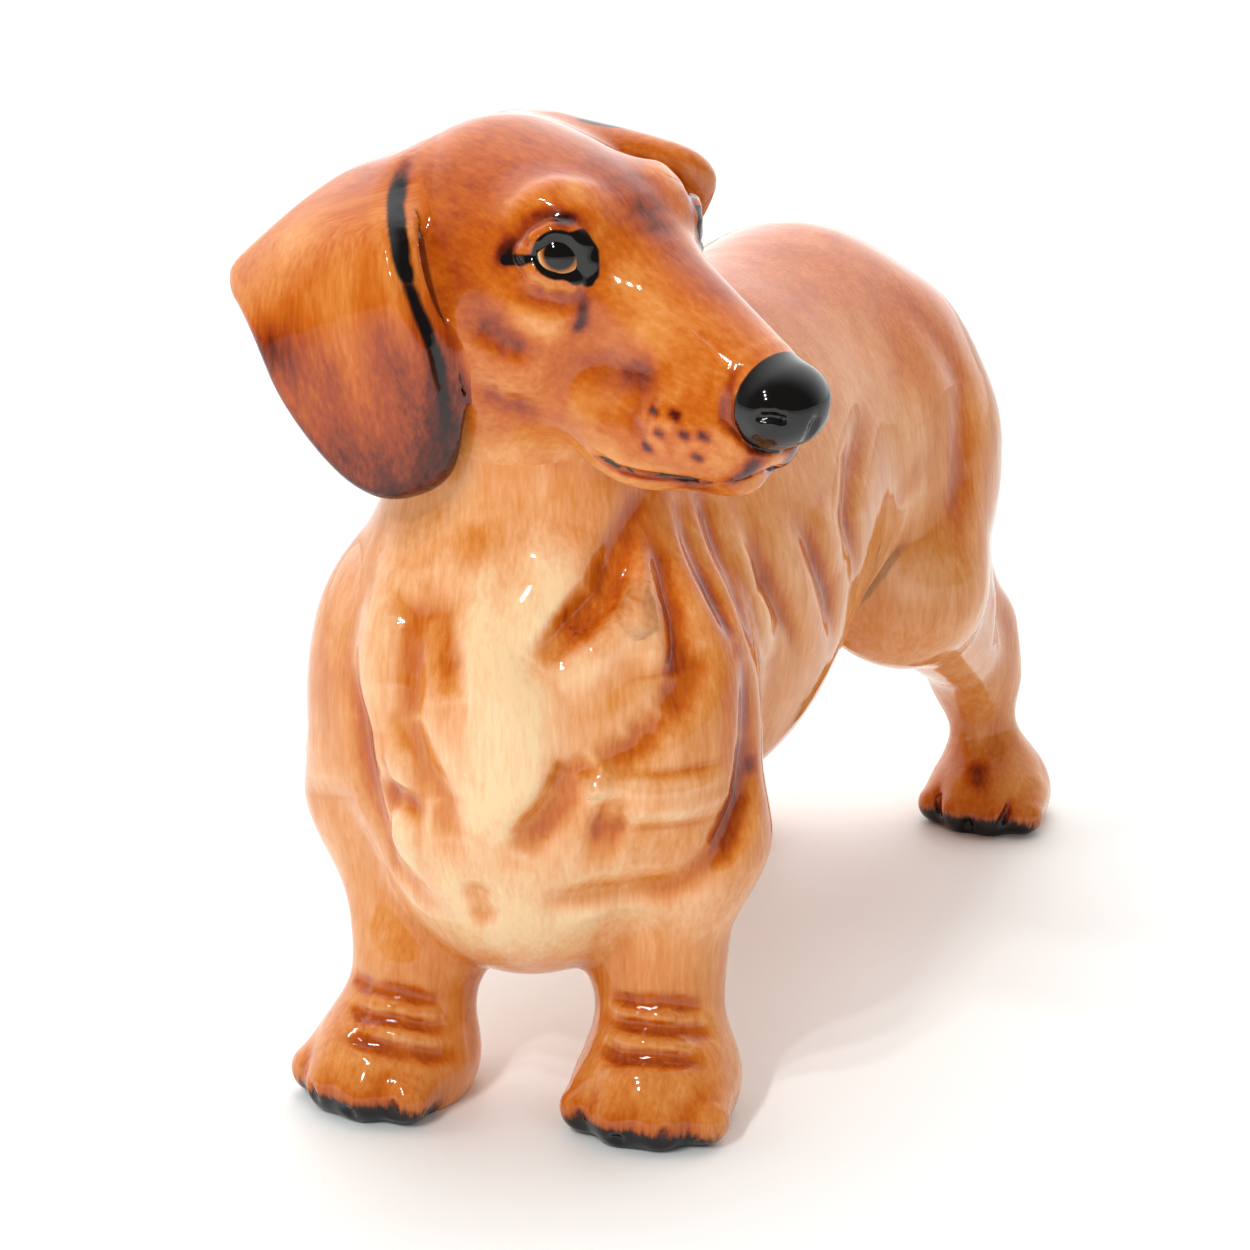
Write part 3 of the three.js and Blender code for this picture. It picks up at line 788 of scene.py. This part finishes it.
BODY_TONES = [
    # warm washes: darker glaze inside the folds, on the shoulders and under the neck; in the folds and under the neck
    # the darkening is also painted shade
    Stroke([(15, -9, 57), (12.5, -13, 54)], 2.8, 0.14),
    Stroke([(13, -13.5, 41), (9.5, -15.5, 36), (14, -12, 37), (19, -9, 34)], 2.9, 0.1),
    Stroke([(-8, -16, 38.5), (-3, -18, 37)], 2.3, 0.13),
    Stroke([(-9, -15, 34.6), (-5, -17, 34.5)], 1.9, -0.22),
    Stroke([(1, -14, 67), (3, -14.5, 62)], 2.8, 0.16),
    Stroke([(-16, -9, 50), (-17, -8, 42)], 3.0, 0.08),
    Stroke([(-1.5, -17, 58), (0.5, -18, 50), (1.5, -18, 44)], 2.4, 0.14),
    Stroke([(20, -7, 56), (20, -8, 50)], 3.0, 0.1),
    Stroke([(23, 0, 50), (23, -3, 46)], 3.2, 0.08),
    Stroke([(18, -10, 41), (20, -8, 38)], 3.4, 0.05),
    Stroke([(4, -16, 60), (7, -17, 50), (8, -17, 42)], 3.5, -0.1),
    # thigh, hock and spine
    Stroke([(20, 55, 58), (21, 57, 54)], 5.0, 0.14),
    Stroke([(20.5, 59, 47), (20, 58, 40)], 4.5, -0.14),
    Stroke([(22, 67, 60), (22, 64, 48)], 2.6, 0.1),
    Stroke([(14, 78, 25), (14, 96, 20)], 3.5, 0.1),
    Stroke([(16, 96, 27), (13, 100, 20), (13, 101, 12)], 2.6, 0.3),
    Stroke([(15.5, 93.5, 9), (17, 90.5, 5)], 1.6, 0.4),
    Stroke([(24.8, 2.5, 41), (25, 2, 38.5)], 1.0, 0.32),
]


def body_paint(p, n):
    x, y, z = p.T
    front = smooth(-n[:, 1], -0.1, 0.75) * (1 - smooth(y, 8, 20))
    chest = front * smooth(z, 15, 26) * (1 - 0.5 * smooth(z, 60, 76))
    middle = np.exp(-(((x - 4) / 12) ** 2))
    tone = 0.47 - chest * (0.12 + 0.22 * middle)
    tone -= 0.16 * smooth(-n[:, 2], 0.0, 0.8) * smooth(z, 14, 22)
    tone += 0.07 * smooth(n[:, 2], 0.3, 0.9)
    # Paler rear sides, flanks and legs: partly the coat's own colour, partly painted light where the lamps and the
    # glaze's sheen brighten them.
    tone -= 0.1 * smooth(np.abs(x), 12, 18) * smooth(y, 45, 60) * smooth(z, 25, 40) * (1 - smooth(z, 60, 72))
    legs = 1 - smooth(z, 22, 34)
    flank = smooth(np.abs(x), 9, 16) * smooth(y, 8, 16) * (1 - smooth(y, 50, 62)) * smooth(z, 30, 42)
    tone -= 0.09 * legs + 0.12 * flank
    tone = tone + brushed(BODY_TONES, p)
    # glaze pooling, together with painted shade in the hollows and painted light on the ridges
    tone = pool_glaze_and_shade(DOG, p, tone)
    dark = np.zeros(len(p))
    for cx, cy, _ in PAWS:
        ahead = cy - y
        near = np.exp(-(((x - cx) / 12) ** 2)) * (np.abs(y - cy) < 14)
        edge = smooth(ahead, -1, 5.5) * (1 - smooth(z, 0.6, 5))
        tone = tone + 0.3 * near * smooth(ahead, 1, 7) * (1 - smooth(z, 1.5, 6.5))
        dark = np.maximum(dark, 0.95 * near * edge)
    grain = np.stack([x * 1.0, y * 1.0, z * 0.16], axis=1)
    return np.clip(tone, 0.02, 0.98), dark, grain


HEAD_TONES = [
    *head_strokes([(13, 0.6, 11), (18, 0.6, 8.5), (24, 1, 5), (30, 1, 2.4), (35, 1, 0.6)], 2.2, 0.1),
    *head_strokes([(8, 1, 12.5), (13, 2, 11), (17, 2.4, 9)], 1.8, 0.07),
    *head_strokes([(18.7, 4.8, 6.4), (23.3, 5.4, 2.4), (30, 5.4, -2)], 2.2, -0.16),
    *head_strokes([(13, 7, 10), (15.5, 5.4, 9.8)], 1.8, -0.14),
    *head_strokes([(12, 12, -1.6), (15.5, 10.6, -2.6), (18.5, 9, -2.6)], 1.8, -0.15),
    *head_strokes([(14.5, 9.4, 7.6), (16.6, 8, 7.8)], 1.0, 0.35),
    *head_strokes([(9.5, 11.8, 3.6), (12, 11.4, 3.6)], 1.5, 0.35),
    *head_strokes([(18.6, 7.7, 1.6), (18.5, 8, -1.6), (18.2, 8.4, -3)], 0.6, 0.38),
    *head_strokes([(9, 13.6, -3.4), (13, 12, -5), (16.5, 9.8, -5.6)], 2.2, 0.08),
    *head_strokes([(12, 11.6, -11), (15.5, 9.8, -12.2)], 2.2, 0.12),
    *head_strokes([(22, 7.6, -5.5), (28, 6.4, -3.6)], 2.0, 0.14),
    *head_strokes([(18, 9, -9.4), (22.5, 8, -10)], 2.2, -0.14),
    *head_strokes([(20, 8.4, -13), (26, 7, -12.6)], 1.6, -0.1),
    *head_strokes([(30, 5, -14.6), (34, 3, -14)], 1.6, 0.3),
    *head_strokes([(39, 2.5, -8.8), (37.4, 3, -11.6), (35, 3.4, -13.4)], 1.2, 0.5),
    *head_strokes([(0, 12, 6), (5.4, 13.3, 1.5), (9, 13.6, -3)], 3.0, 0.1),
    *(
        dot
        for place in ((28.4, 7, -7.2), (30.6, 6.9, -6.8), (29.4, 7.1, -9), (32, 6.7, -8.4), (34, 6.2, -8),
                      (28, 6.8, -10.8), (33.4, 6, -10.2))
        for dot in head_strokes([place, (place[0] + 0.5, place[1], place[2] - 0.1)], 0.5, 0.46, 0)
    ),
]  # fmt: skip
HEAD_INK = [
    *head_strokes([(14.4, 10.4, 3.9), (12.6, 11.3, 3.4), (10.2, 11.9, 3)], 0.75, 1.0, 0.5),
    *head_strokes([(17, 8.2, 7), (18.2, 7.2, 5.4), (18.6, 7.2, 3.4), (18.2, 8, 1.6)], 0.8, 1.0, 0.6),
    *head_strokes(MOUTH, 0.4, 0.8, 0.3),
]  # fmt: skip
NOSE_LEATHER = head_lump((39.6, 0, -4.2), (4.9, 6.4, 5.3), 1, 12)

# painted lines lie on the skin
for line in (*HEAD_INK, *HEAD_TONES, *BODY_TONES):
    line.points = DOG.settle(line.points)


def head_paint(p, n):
    f, left, u = ((p - SKULL) @ HEAD_AXES).T
    tone = 0.55 + 0.07 * smooth(u, 2, 11) - 0.05 * smooth(f, 14, 26)
    tone -= 0.2 * smooth(-n @ HEAD_AXES[:, 2], 0.1, 0.8) * (1 - smooth(f, 24, 32))
    tone = tone + brushed(HEAD_TONES, p)
    # glaze pooling, together with painted shade in the hollows and painted light on the ridges
    tone = pool_glaze_and_shade(DOG, p, tone)
    above = (p - np.array((0, -2, 78.5))) @ unit((0.22, -0.45, 1))
    body = body_paint(p, n)[0]
    tone = body + (tone - body) * smooth(above, 0.2, 5.5)
    dark = np.maximum(inked([*HEAD_INK, *CREASES], p), eye_rims(p))
    dark = np.maximum(dark, 1.2 * inside(NOSE_LEATHER, p, 0.9))
    grain = np.stack([f * 0.35, left, u * 0.7], axis=1)
    return np.clip(tone, 0.02, 0.98), dark, grain


def ear_paint(leaf):
    def paint(p, n):
        s, w, m = leaf.local(p).T
        rim = leaf.flat_distance(s, w)
        tone = 0.5 + 0.16 * smooth(s, 9, 19) + 0.16 * smooth(s, 20, 28)
        tone += 0.14 * smooth(rim, -2.4, -0.3) * smooth(s, 8, 16)
        for place, size, amount in (
            ((15.5, -6), (3.2, 2.2), 0.26),
            ((4, -5), (5, 4), -0.16),
            ((9, -9), (4, 2.5), -0.1),
            ((15, 2), (7, 1.8), -0.14),
            ((20, 6.5), (6, 2), 0.1),
        ):
            spread = ((s - place[0]) / size[0]) ** 2 + ((w - place[1]) / size[1]) ** 2
            tone += amount * np.exp(-spread)
        # glaze pooling, together with painted shade in the hollows and painted light on the ridges
        tone = pool_glaze_and_shade(EARED, p, tone)
        dark = 0.55 * smooth(rim, -1.0, 0.6) * smooth(s, 14, 24) * (w < 2)
        grain = np.stack([s * 0.16, w, m], axis=1)
        skull = np.maximum(smooth(leaf.distance(p), 0.35, 1.3), 1 - smooth(s, -1.5, 5))
        head_tone, head_dark, head_grain = head_paint(p, n)
        tone += (head_tone - tone) * skull
        grain += (head_grain - grain) * skull[:, None]
        return np.clip(tone, 0.02, 0.98), np.maximum(dark * (1 - skull), head_dark), grain

    return paint


# ------------------------------------------------------------------ shader wiring
class Wire:
    """A shader socket that takes part in Python expressions."""

    def __init__(self, tree, socket):
        self.tree = tree
        self.socket = socket

    def _math(self, operation, *values):
        return node(self.tree, "ShaderNodeMath", {"operation": operation}, *values)

    def __add__(self, other):
        return self._math("ADD", self, other)

    def __radd__(self, other):
        return self._math("ADD", other, self)

    def __sub__(self, other):
        return self._math("SUBTRACT", self, other)

    def __rsub__(self, other):
        return self._math("SUBTRACT", other, self)

    def __mul__(self, other):
        return self._math("MULTIPLY", self, other)

    def __rmul__(self, other):
        return self._math("MULTIPLY", other, self)

    def clip(self):
        return node(self.tree, "ShaderNodeClamp", {}, self)

    def step(self, low, high):
        return node(
            self.tree, "ShaderNodeMapRange", {"interpolation_type": "SMOOTHSTEP"}, self, low, high, 0.0, 1.0
        )


def node(tree, kind, settings, *values, out=0, **named):
    """Adds a node: its settings first, then the values or links of its sockets."""
    made = tree.nodes.new(kind)
    for key, value in settings.items():
        if key == "stops":
            ramp = made.color_ramp
            while len(ramp.elements) < len(value):
                ramp.elements.new(0.5)
            for stop, (position, colour) in zip(ramp.elements, value):
                stop.position = position
                stop.color = (*colour[:3], 1)
        else:
            setattr(made, key, value)
    sockets = [(made.inputs[i], v) for i, v in enumerate(values)]
    sockets += [(made.inputs[k.replace("_", " ")], v) for k, v in named.items()]
    for socket, value in sockets:
        if isinstance(value, Wire):
            tree.links.new(value.socket, socket)
        elif value is not None:
            socket.default_value = value
    return Wire(tree, made.outputs[out])


def linear(srgb, alpha=1.0):
    """A colour picked on a screen, 0 to 255, as light."""
    s = [v / 255 for v in srgb]
    return (*[v / 12.92 if v <= 0.04045 else ((v + 0.055) / 1.055) ** 2.4 for v in s], alpha)


CREAM, ORANGE, MAHOGANY = (242, 206, 158), (194, 96, 19), (96, 28, 7)


def browns(look):
    """The glaze from thin and pale to thick and dark."""
    cream, orange, mahogany = (np.array(c) for c in (look.cream, look.orange, look.mahogany))
    return [
        (0.0, cream),
        (0.18, cream * 0.55 + orange * 0.45 + (0.1, 0.02, 0, 0)),
        (0.36, cream * 0.14 + orange * 0.86 + (0.1, 0.06, 0, 0)),
        (0.54, orange),
        (0.7, orange * 0.55 + mahogany * 0.45 - (0, 0.02, 0, 0)),
        (0.86, mahogany),
        (1.0, mahogany * 0.16),
    ]


def new_material(name):
    material = bpy.data.materials.new(name)
    material.use_nodes = True
    tree = material.node_tree
    shader = next(n for n in tree.nodes if n.type == "BSDF_PRINCIPLED")
    return material, tree, shader


def glaze(name, feather=0.5):
    """Brushed underglaze browns under a clear gloss."""
    look = bpy.context.scene.figurine_look
    material, tree, shader = new_material(name)
    tone = node(tree, "ShaderNodeAttribute", {"attribute_name": "tone"}, out="Fac")
    dark = node(tree, "ShaderNodeAttribute", {"attribute_name": "dark"}, out="Fac")
    grain = node(tree, "ShaderNodeAttribute", {"attribute_name": "grain"}, out="Vector")
    hairs = node(tree, "ShaderNodeTexNoise", {}, Vector=grain, Scale=1.9, Detail=5.0, Roughness=0.62)
    washes = node(tree, "ShaderNodeTexNoise", {}, Vector=grain, Scale=0.35, Detail=3.0, Roughness=0.5)
    brown = tone + (hairs - 0.5) * 0.34 + (washes - 0.5) * 0.3
    colour = node(tree, "ShaderNodeValToRGB", {"stops": browns(look)}, (brown + look.depth).clip())
    ink = (dark + (hairs - 0.5) * feather).step(0.36, 0.64)
    mixed = node(
        tree, "ShaderNodeMix", {"data_type": "RGBA"}, Factor=ink, out=2,
    )
    mix = mixed.socket.node
    tree.links.new(colour.socket, mix.inputs[6])
    mix.inputs[7].default_value = look.ink
    own = node(tree, "ShaderNodeTexCoord", {}, out="Object")
    swell = node(tree, "ShaderNodeTexNoise", {}, Vector=own, Scale=150.0, Detail=2.0, Roughness=0.45)
    bump = node(tree, "ShaderNodeBump", {}, Strength=0.5, Distance=look.swell, Height=swell, out="Normal")
    tree.links.new(bump.socket, shader.inputs["Normal"])
    tree.links.new(mixed.socket, shader.inputs["Base Color"])
    shader.inputs["Roughness"].default_value = look.gloss
    return material


def eye_glaze():
    """A black pupil in an amber ring, off-white beyond it, under a wet gloss."""
    look = bpy.context.scene.figurine_look
    material, tree, shader = new_material("painted eye")
    ring = node(tree, "ShaderNodeAttribute", {"attribute_name": "ring"}, out="Fac")
    across = node(tree, "ShaderNodeAttribute", {"attribute_name": "across"}, out="Fac")
    height = node(tree, "ShaderNodeAttribute", {"attribute_name": "up"}, out="Fac")
    iris = ring - across * 1.6 - height * 1.2
    stops = [
        (0.0, linear((12, 9, 8))),
        (0.47, linear((14, 10, 8))),
        (0.52, linear((112, 56, 20))),
        (0.64, look.iris),
        (0.72, linear((226, 184, 130))),
        (0.77, linear((30, 18, 12))),
        (0.8, linear((12, 9, 8))),
    ]
    colour = node(tree, "ShaderNodeValToRGB", {"stops": stops}, (iris * (1 / 55)).clip())
    tree.links.new(colour.socket, shader.inputs["Base Color"])
    shader.inputs["Roughness"].default_value = 0.05
    return material


# ------------------------------------------------------------------ building
CAMERA_PLACE = (168.5, -322.3, 170.0)
CAMERA_AZIMUTH = 26.0
CAMERA_DOWN = 18.0
CAMERA_LENS = 106.56
BACKDROP_WAY = (-0.42, 0.86, 0.3)
FRONT_LIGHT = 0.1


def colour_property(name, description, srgb):
    return bpy.props.FloatVectorProperty(
        name=name, description=description, default=linear(srgb), size=4, subtype="COLOR", min=0, max=1
    )


def length_property(name, description, default):
    return bpy.props.FloatProperty(
        name=name, description=description, default=default,
        min=default / 2, max=default * 2, unit="LENGTH", precision=5,
    )


class FIGURINE_PG_shape(bpy.types.PropertyGroup):
    """The sizes of the casts"""

    body_detail: length_property("Body detail", "Step between points of the body's skin", 0.0005)
    head_detail: length_property("Head detail", "Step between points of the head's skin", 0.00035)
    eye_radius: length_property("Eye radius", "Radius of each eyeball", EYE_RADIUS / 1000)
    ear_tuck: length_property("Ear tuck", "How deep an ear's rim is sunk in the skull", 0.0003)


class FIGURINE_PG_look(bpy.types.PropertyGroup):
    """The colours and finish of the glaze"""

    cream: colour_property("Cream", "Glaze of the chest and the throat", CREAM)
    orange: colour_property("Orange", "Glaze of the coat", ORANGE)
    # the mahogany end of the browns also carries the painted shade in the hollows
    mahogany: colour_property("Mahogany", "Glaze where it gathers, and on the ears' tips", MAHOGANY)
    ink: colour_property("Ink", "Black of the nose, the lids, the creases and the toes", (15, 11, 10))
    iris: colour_property("Iris", "Amber of the eyes", (206, 126, 50))
    depth: bpy.props.FloatProperty(
        name="Depth", description="Thickens or thins all of the glaze", default=0.0, min=-0.5, max=0.5
    )
    gloss: bpy.props.FloatProperty(
        name="Roughness", description="Roughness of the glaze", default=0.07, min=0, max=1, subtype="FACTOR"
    )
    swell: length_property("Swell", "Height of the unevenness in the glaze", 0.0003)


class FIGURINE_PG_stage(bpy.types.PropertyGroup):
    """The table and the light"""

    table: colour_property("Table", "Colour of the table", (240, 242, 241))
    daylight: bpy.props.FloatProperty(
        name="Daylight", description="Brightness of the room behind the figurine", default=1.8, min=0
    )
    lamps: bpy.props.FloatProperty(
        name="Lamps", description="Power of the lamps that sparkle", default=0.42, min=0, unit="POWER"
    )


class FIGURINE_OT_body(bpy.types.Operator):
    """Casts the trunk, the legs and the tail"""

    bl_idname = "figurine.body"
    bl_label = "Trunk, legs and tail"

    def execute(self, context):
        clay = DOG
        voxel = context.scene.figurine_shape.body_detail * 1000
        mesh = skin(BODY_FORMS, clay, 1.2, voxel)
        material = glaze("brown glaze")
        leg_cuts = {
            "left_foreleg": (Vector((18, 3, 31)), Vector((0.85, 0, -0.53))),
            "right_foreleg": (Vector((-18, 3, 31)), Vector((-0.85, 0, -0.53))),
            "left_hind_leg": (Vector((13, 70, 42)), Vector((0.3, 0, -0.94))),
            "right_hind_leg": (Vector((-13, 70, 42)), Vector((-0.3, 0, -0.94))),
        }
        tail_cut = (Vector((0, 89.5, 60)), Vector((0, 1, 0)))
        loin, groin = {1: 50.0, -1: 30.0}, 1.0  # where a thigh parts from the belly
        sides = [(Vector((0, y, 0)), Vector((0, 1, 0))) for y in loin.values()]
        sides += [(Vector((side * groin, 0, 0)), Vector((1, 0, 0))) for side in loin]
        planes = [NECK_CUT, *leg_cuts.values(), tail_cut, *sides]

        def past(q, plane):
            return (q - np.array(plane[0])) @ np.array(plane[1]) > 0

        def is_leg(q, name):
            side = 1 if name.startswith("left") else -1
            front = "fore" in name
            near = q[:, 1] < 30 if front else (q[:, 1] > loin[side]) & (side * q[:, 0] > groin)
            return past(q, leg_cuts[name]) & (side * q[:, 0] > 0) & near & ~is_tail(q)

        def is_tail(q):
            return past(q, tail_cut) & (np.abs(q[:, 0] + 2) < 7) & (q[:, 2] > 17)

        def is_trunk(q):
            legs = np.any([is_leg(q, name) for name in leg_cuts], axis=0)
            return ~past(q, NECK_CUT) & ~legs & ~is_tail(q)

        for name, keep in (
            ("trunk", is_trunk),
            ("tail", is_tail),
            *((leg, lambda q, leg=leg: is_leg(q, leg)) for leg in leg_cuts),
        ):
            cast = cut(mesh, planes, keep)
            finish_piece("glazed_" + name, cast, clay, [name], material, body_paint)
        return {"FINISHED"}


class FIGURINE_OT_head(bpy.types.Operator):
    """Casts the head and the ears"""

    bl_idname = "figurine.head"
    bl_label = "Head and ears"

    def execute(self, context):
        shape = context.scene.figurine_shape
        voxel = shape.head_detail * 1000
        material = glaze("head glaze", 0.14)

        def is_head(q):
            return (q - np.array(NECK_CUT[0])) @ np.array(NECK_CUT[1]) > 0

        mesh = cut(skin([*HEAD, NECK[0]], DOG, 0.9, voxel), [NECK_CUT], is_head)
        finish_piece("glazed_head", mesh, DOG, ["head"], material, head_paint)
        eared = skin([*HEAD, *EARS.values()], EARED, 0.9, voxel)
        for name, leaf in EARS.items():
            mesh = cut(eared, [], lambda q, leaf=leaf: leaf.distance(q) < 3.3)
            paint, tuck = ear_paint(leaf), self.tuck(mesh, leaf)
            finish_piece("glazed_" + name, mesh, EARED, [name], material, paint, tuck)
        for name, eye in EYES.items():
            self.eyeball(name, eye)
        return {"FINISHED"}

    @staticmethod
    def tuck(mesh, leaf):
        """How far each point of an ear sinks into the head, so that its rim hides in the skull."""
        depth = bpy.context.scene.figurine_shape.ear_tuck * 1000
        return depth * smooth(leaf.distance(get_points(mesh)), 2.0, 3.2)

    @staticmethod
    def eyeball(name, eye):
        """A glass-bright ball with its distance from the pupil's middle as an attribute."""
        radius = bpy.context.scene.figurine_shape.eye_radius * 1000
        bm = bmesh.new()
        bmesh.ops.create_uvsphere(bm, u_segments=64, v_segments=48, radius=radius)
        mesh = bpy.data.meshes.new("ball")
        bm.to_mesh(mesh)
        bm.free()
        local = get_points(mesh)
        ring = np.degrees(np.arccos(np.clip(local[:, 2] / radius, -1, 1)))
        for key, values in (("ring", ring), ("across", local[:, 0]), ("up", local[:, 1])):
            mesh.attributes.new(key, "FLOAT", "POINT").data.foreach_set("value", values.astype(np.float32))
        set_points(mesh, ORIGIN + (eye.centre + local @ eye.axes) * UNIT)
        if np.linalg.det(eye.axes) < 0:
            mesh.flip_normals()
        mesh.shade_smooth()
        obj = bpy.data.objects.new("eye_" + name, mesh)
        bpy.context.collection.objects.link(obj)
        mesh.materials.append(eye_glaze())
        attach(obj, "root")


class FIGURINE_OT_stage(bpy.types.Operator):
    """Sets the table, the lights and the camera"""

    bl_idname = "figurine.stage"
    bl_label = "Table, lights and camera"

    def execute(self, context):
        scene = context.scene
        settings = scene.figurine_stage
        scene.view_settings.view_transform = "Standard"
        low = CAD_BOX[0]
        middle = (CAD_BOX[0] + CAD_BOX[1]) / 2
        bm = bmesh.new()
        bmesh.ops.create_grid(bm, x_segments=1, y_segments=1, size=1.6)
        bmesh.ops.translate(bm, verts=bm.verts, vec=(middle.x, middle.y, low.z))
        table = bpy.data.meshes.new("table")
        bm.to_mesh(table)
        bm.free()
        material, tree, shader = new_material("white table")
        shader.inputs["Base Color"].default_value = settings.table
        shader.inputs["Roughness"].default_value = 0.7
        table.materials.append(material)
        floor = bpy.data.objects.new("table", table)
        bpy.context.collection.objects.link(floor)

        world = bpy.data.worlds.new("tent")
        world.use_nodes = True
        tree = world.node_tree
        sky = next(n for n in tree.nodes if n.type == "BACKGROUND")
        way = node(tree, "ShaderNodeTexCoord", {}, out="Generated")
        dot = {"operation": "DOT_PRODUCT"}
        back = node(tree, "ShaderNodeVectorMath", dot, way, BACKDROP_WAY, out="Value")
        bright = back.step(-0.2, 0.95) * (settings.daylight - FRONT_LIGHT) + FRONT_LIGHT
        tree.links.new(bright.socket, sky.inputs["Strength"])
        sky.inputs["Color"].default_value = (0.985, 1.0, 1.0, 1)
        scene.world = world

        for name, place, size, power, mirrored in (
            ("softbox over", (-20, 160, 620), 420, 0.9, False),
            ("softbox left", (430, -220, 330), 280, 0.35, False),
            ("softbox low", (140, -560, 150), 260, 0.42, False),
            ("softbox right", (-430, -120, 330), 280, 0.31, False),
            ("softbox behind", (-420, 900, 600), 500, 2.1, False),
            ("lamp a", (14, -400, 335), 26, settings.lamps, True),
            ("lamp b", (-26, -370, 405), 26, settings.lamps, True),
            ("lamp c", (-66, -330, 465), 26, settings.lamps, True),
        ):
            light = bpy.data.lights.new(name, "AREA")
            light.shape = "DISK"
            light.size = size * UNIT
            light.energy = power
            lamp = bpy.data.objects.new(name, light)
            bpy.context.collection.objects.link(lamp)
            lamp.visible_glossy = mirrored
            lamp.visible_camera = False
            lamp.location = ORIGIN + np.array(place) * UNIT
            aim = Vector(ORIGIN + np.array((0, 20, 45)) * UNIT) - lamp.location
            lamp.rotation_mode = "QUATERNION"
            lamp.rotation_quaternion = aim.to_track_quat("-Z", "Y")

        camera = bpy.data.cameras.new("camera")
        camera.sensor_width = 36
        camera.lens = CAMERA_LENS
        camera.clip_start, camera.clip_end = 0.01, 10
        eye = bpy.data.objects.new("camera", camera)
        bpy.context.collection.objects.link(eye)
        eye.location = ORIGIN + np.array(CAMERA_PLACE) * UNIT
        eye.rotation_euler = (math.radians(90 - CAMERA_DOWN), 0, math.radians(CAMERA_AZIMUTH))
        scene.camera = eye
        return {"FINISHED"}


class FIGURINE_PT_panel(bpy.types.Panel):
    """Lists the figurine's casts"""

    bl_label = "Figurine"
    bl_idname = "FIGURINE_PT_panel"
    bl_space_type = "VIEW_3D"
    bl_region_type = "UI"
    bl_category = "Figurine"

    def draw(self, context):
        for name, group in GROUPS.items():
            for key in group.__annotations__:
                self.layout.prop(getattr(context.scene, name), key)
        for operator in OPERATORS:
            self.layout.operator(operator.bl_idname)


OPERATORS = (FIGURINE_OT_body, FIGURINE_OT_head, FIGURINE_OT_stage)
GROUPS = {
    "figurine_shape": FIGURINE_PG_shape,
    "figurine_look": FIGURINE_PG_look,
    "figurine_stage": FIGURINE_PG_stage,
}
CLASSES = (*GROUPS.values(), *OPERATORS, FIGURINE_PT_panel)


def register():
    for cls in CLASSES:
        bpy.utils.register_class(cls)
    for name, group in GROUPS.items():
        setattr(bpy.types.Scene, name, bpy.props.PointerProperty(type=group))


def unregister():
    for name in GROUPS:
        delattr(bpy.types.Scene, name)
    for cls in reversed(CLASSES):
        bpy.utils.unregister_class(cls)


def main():
    register()
    bpy.ops.figurine.stage()
    bpy.ops.figurine.body()
    bpy.ops.figurine.head()


if __name__ == "__main__":
    main()
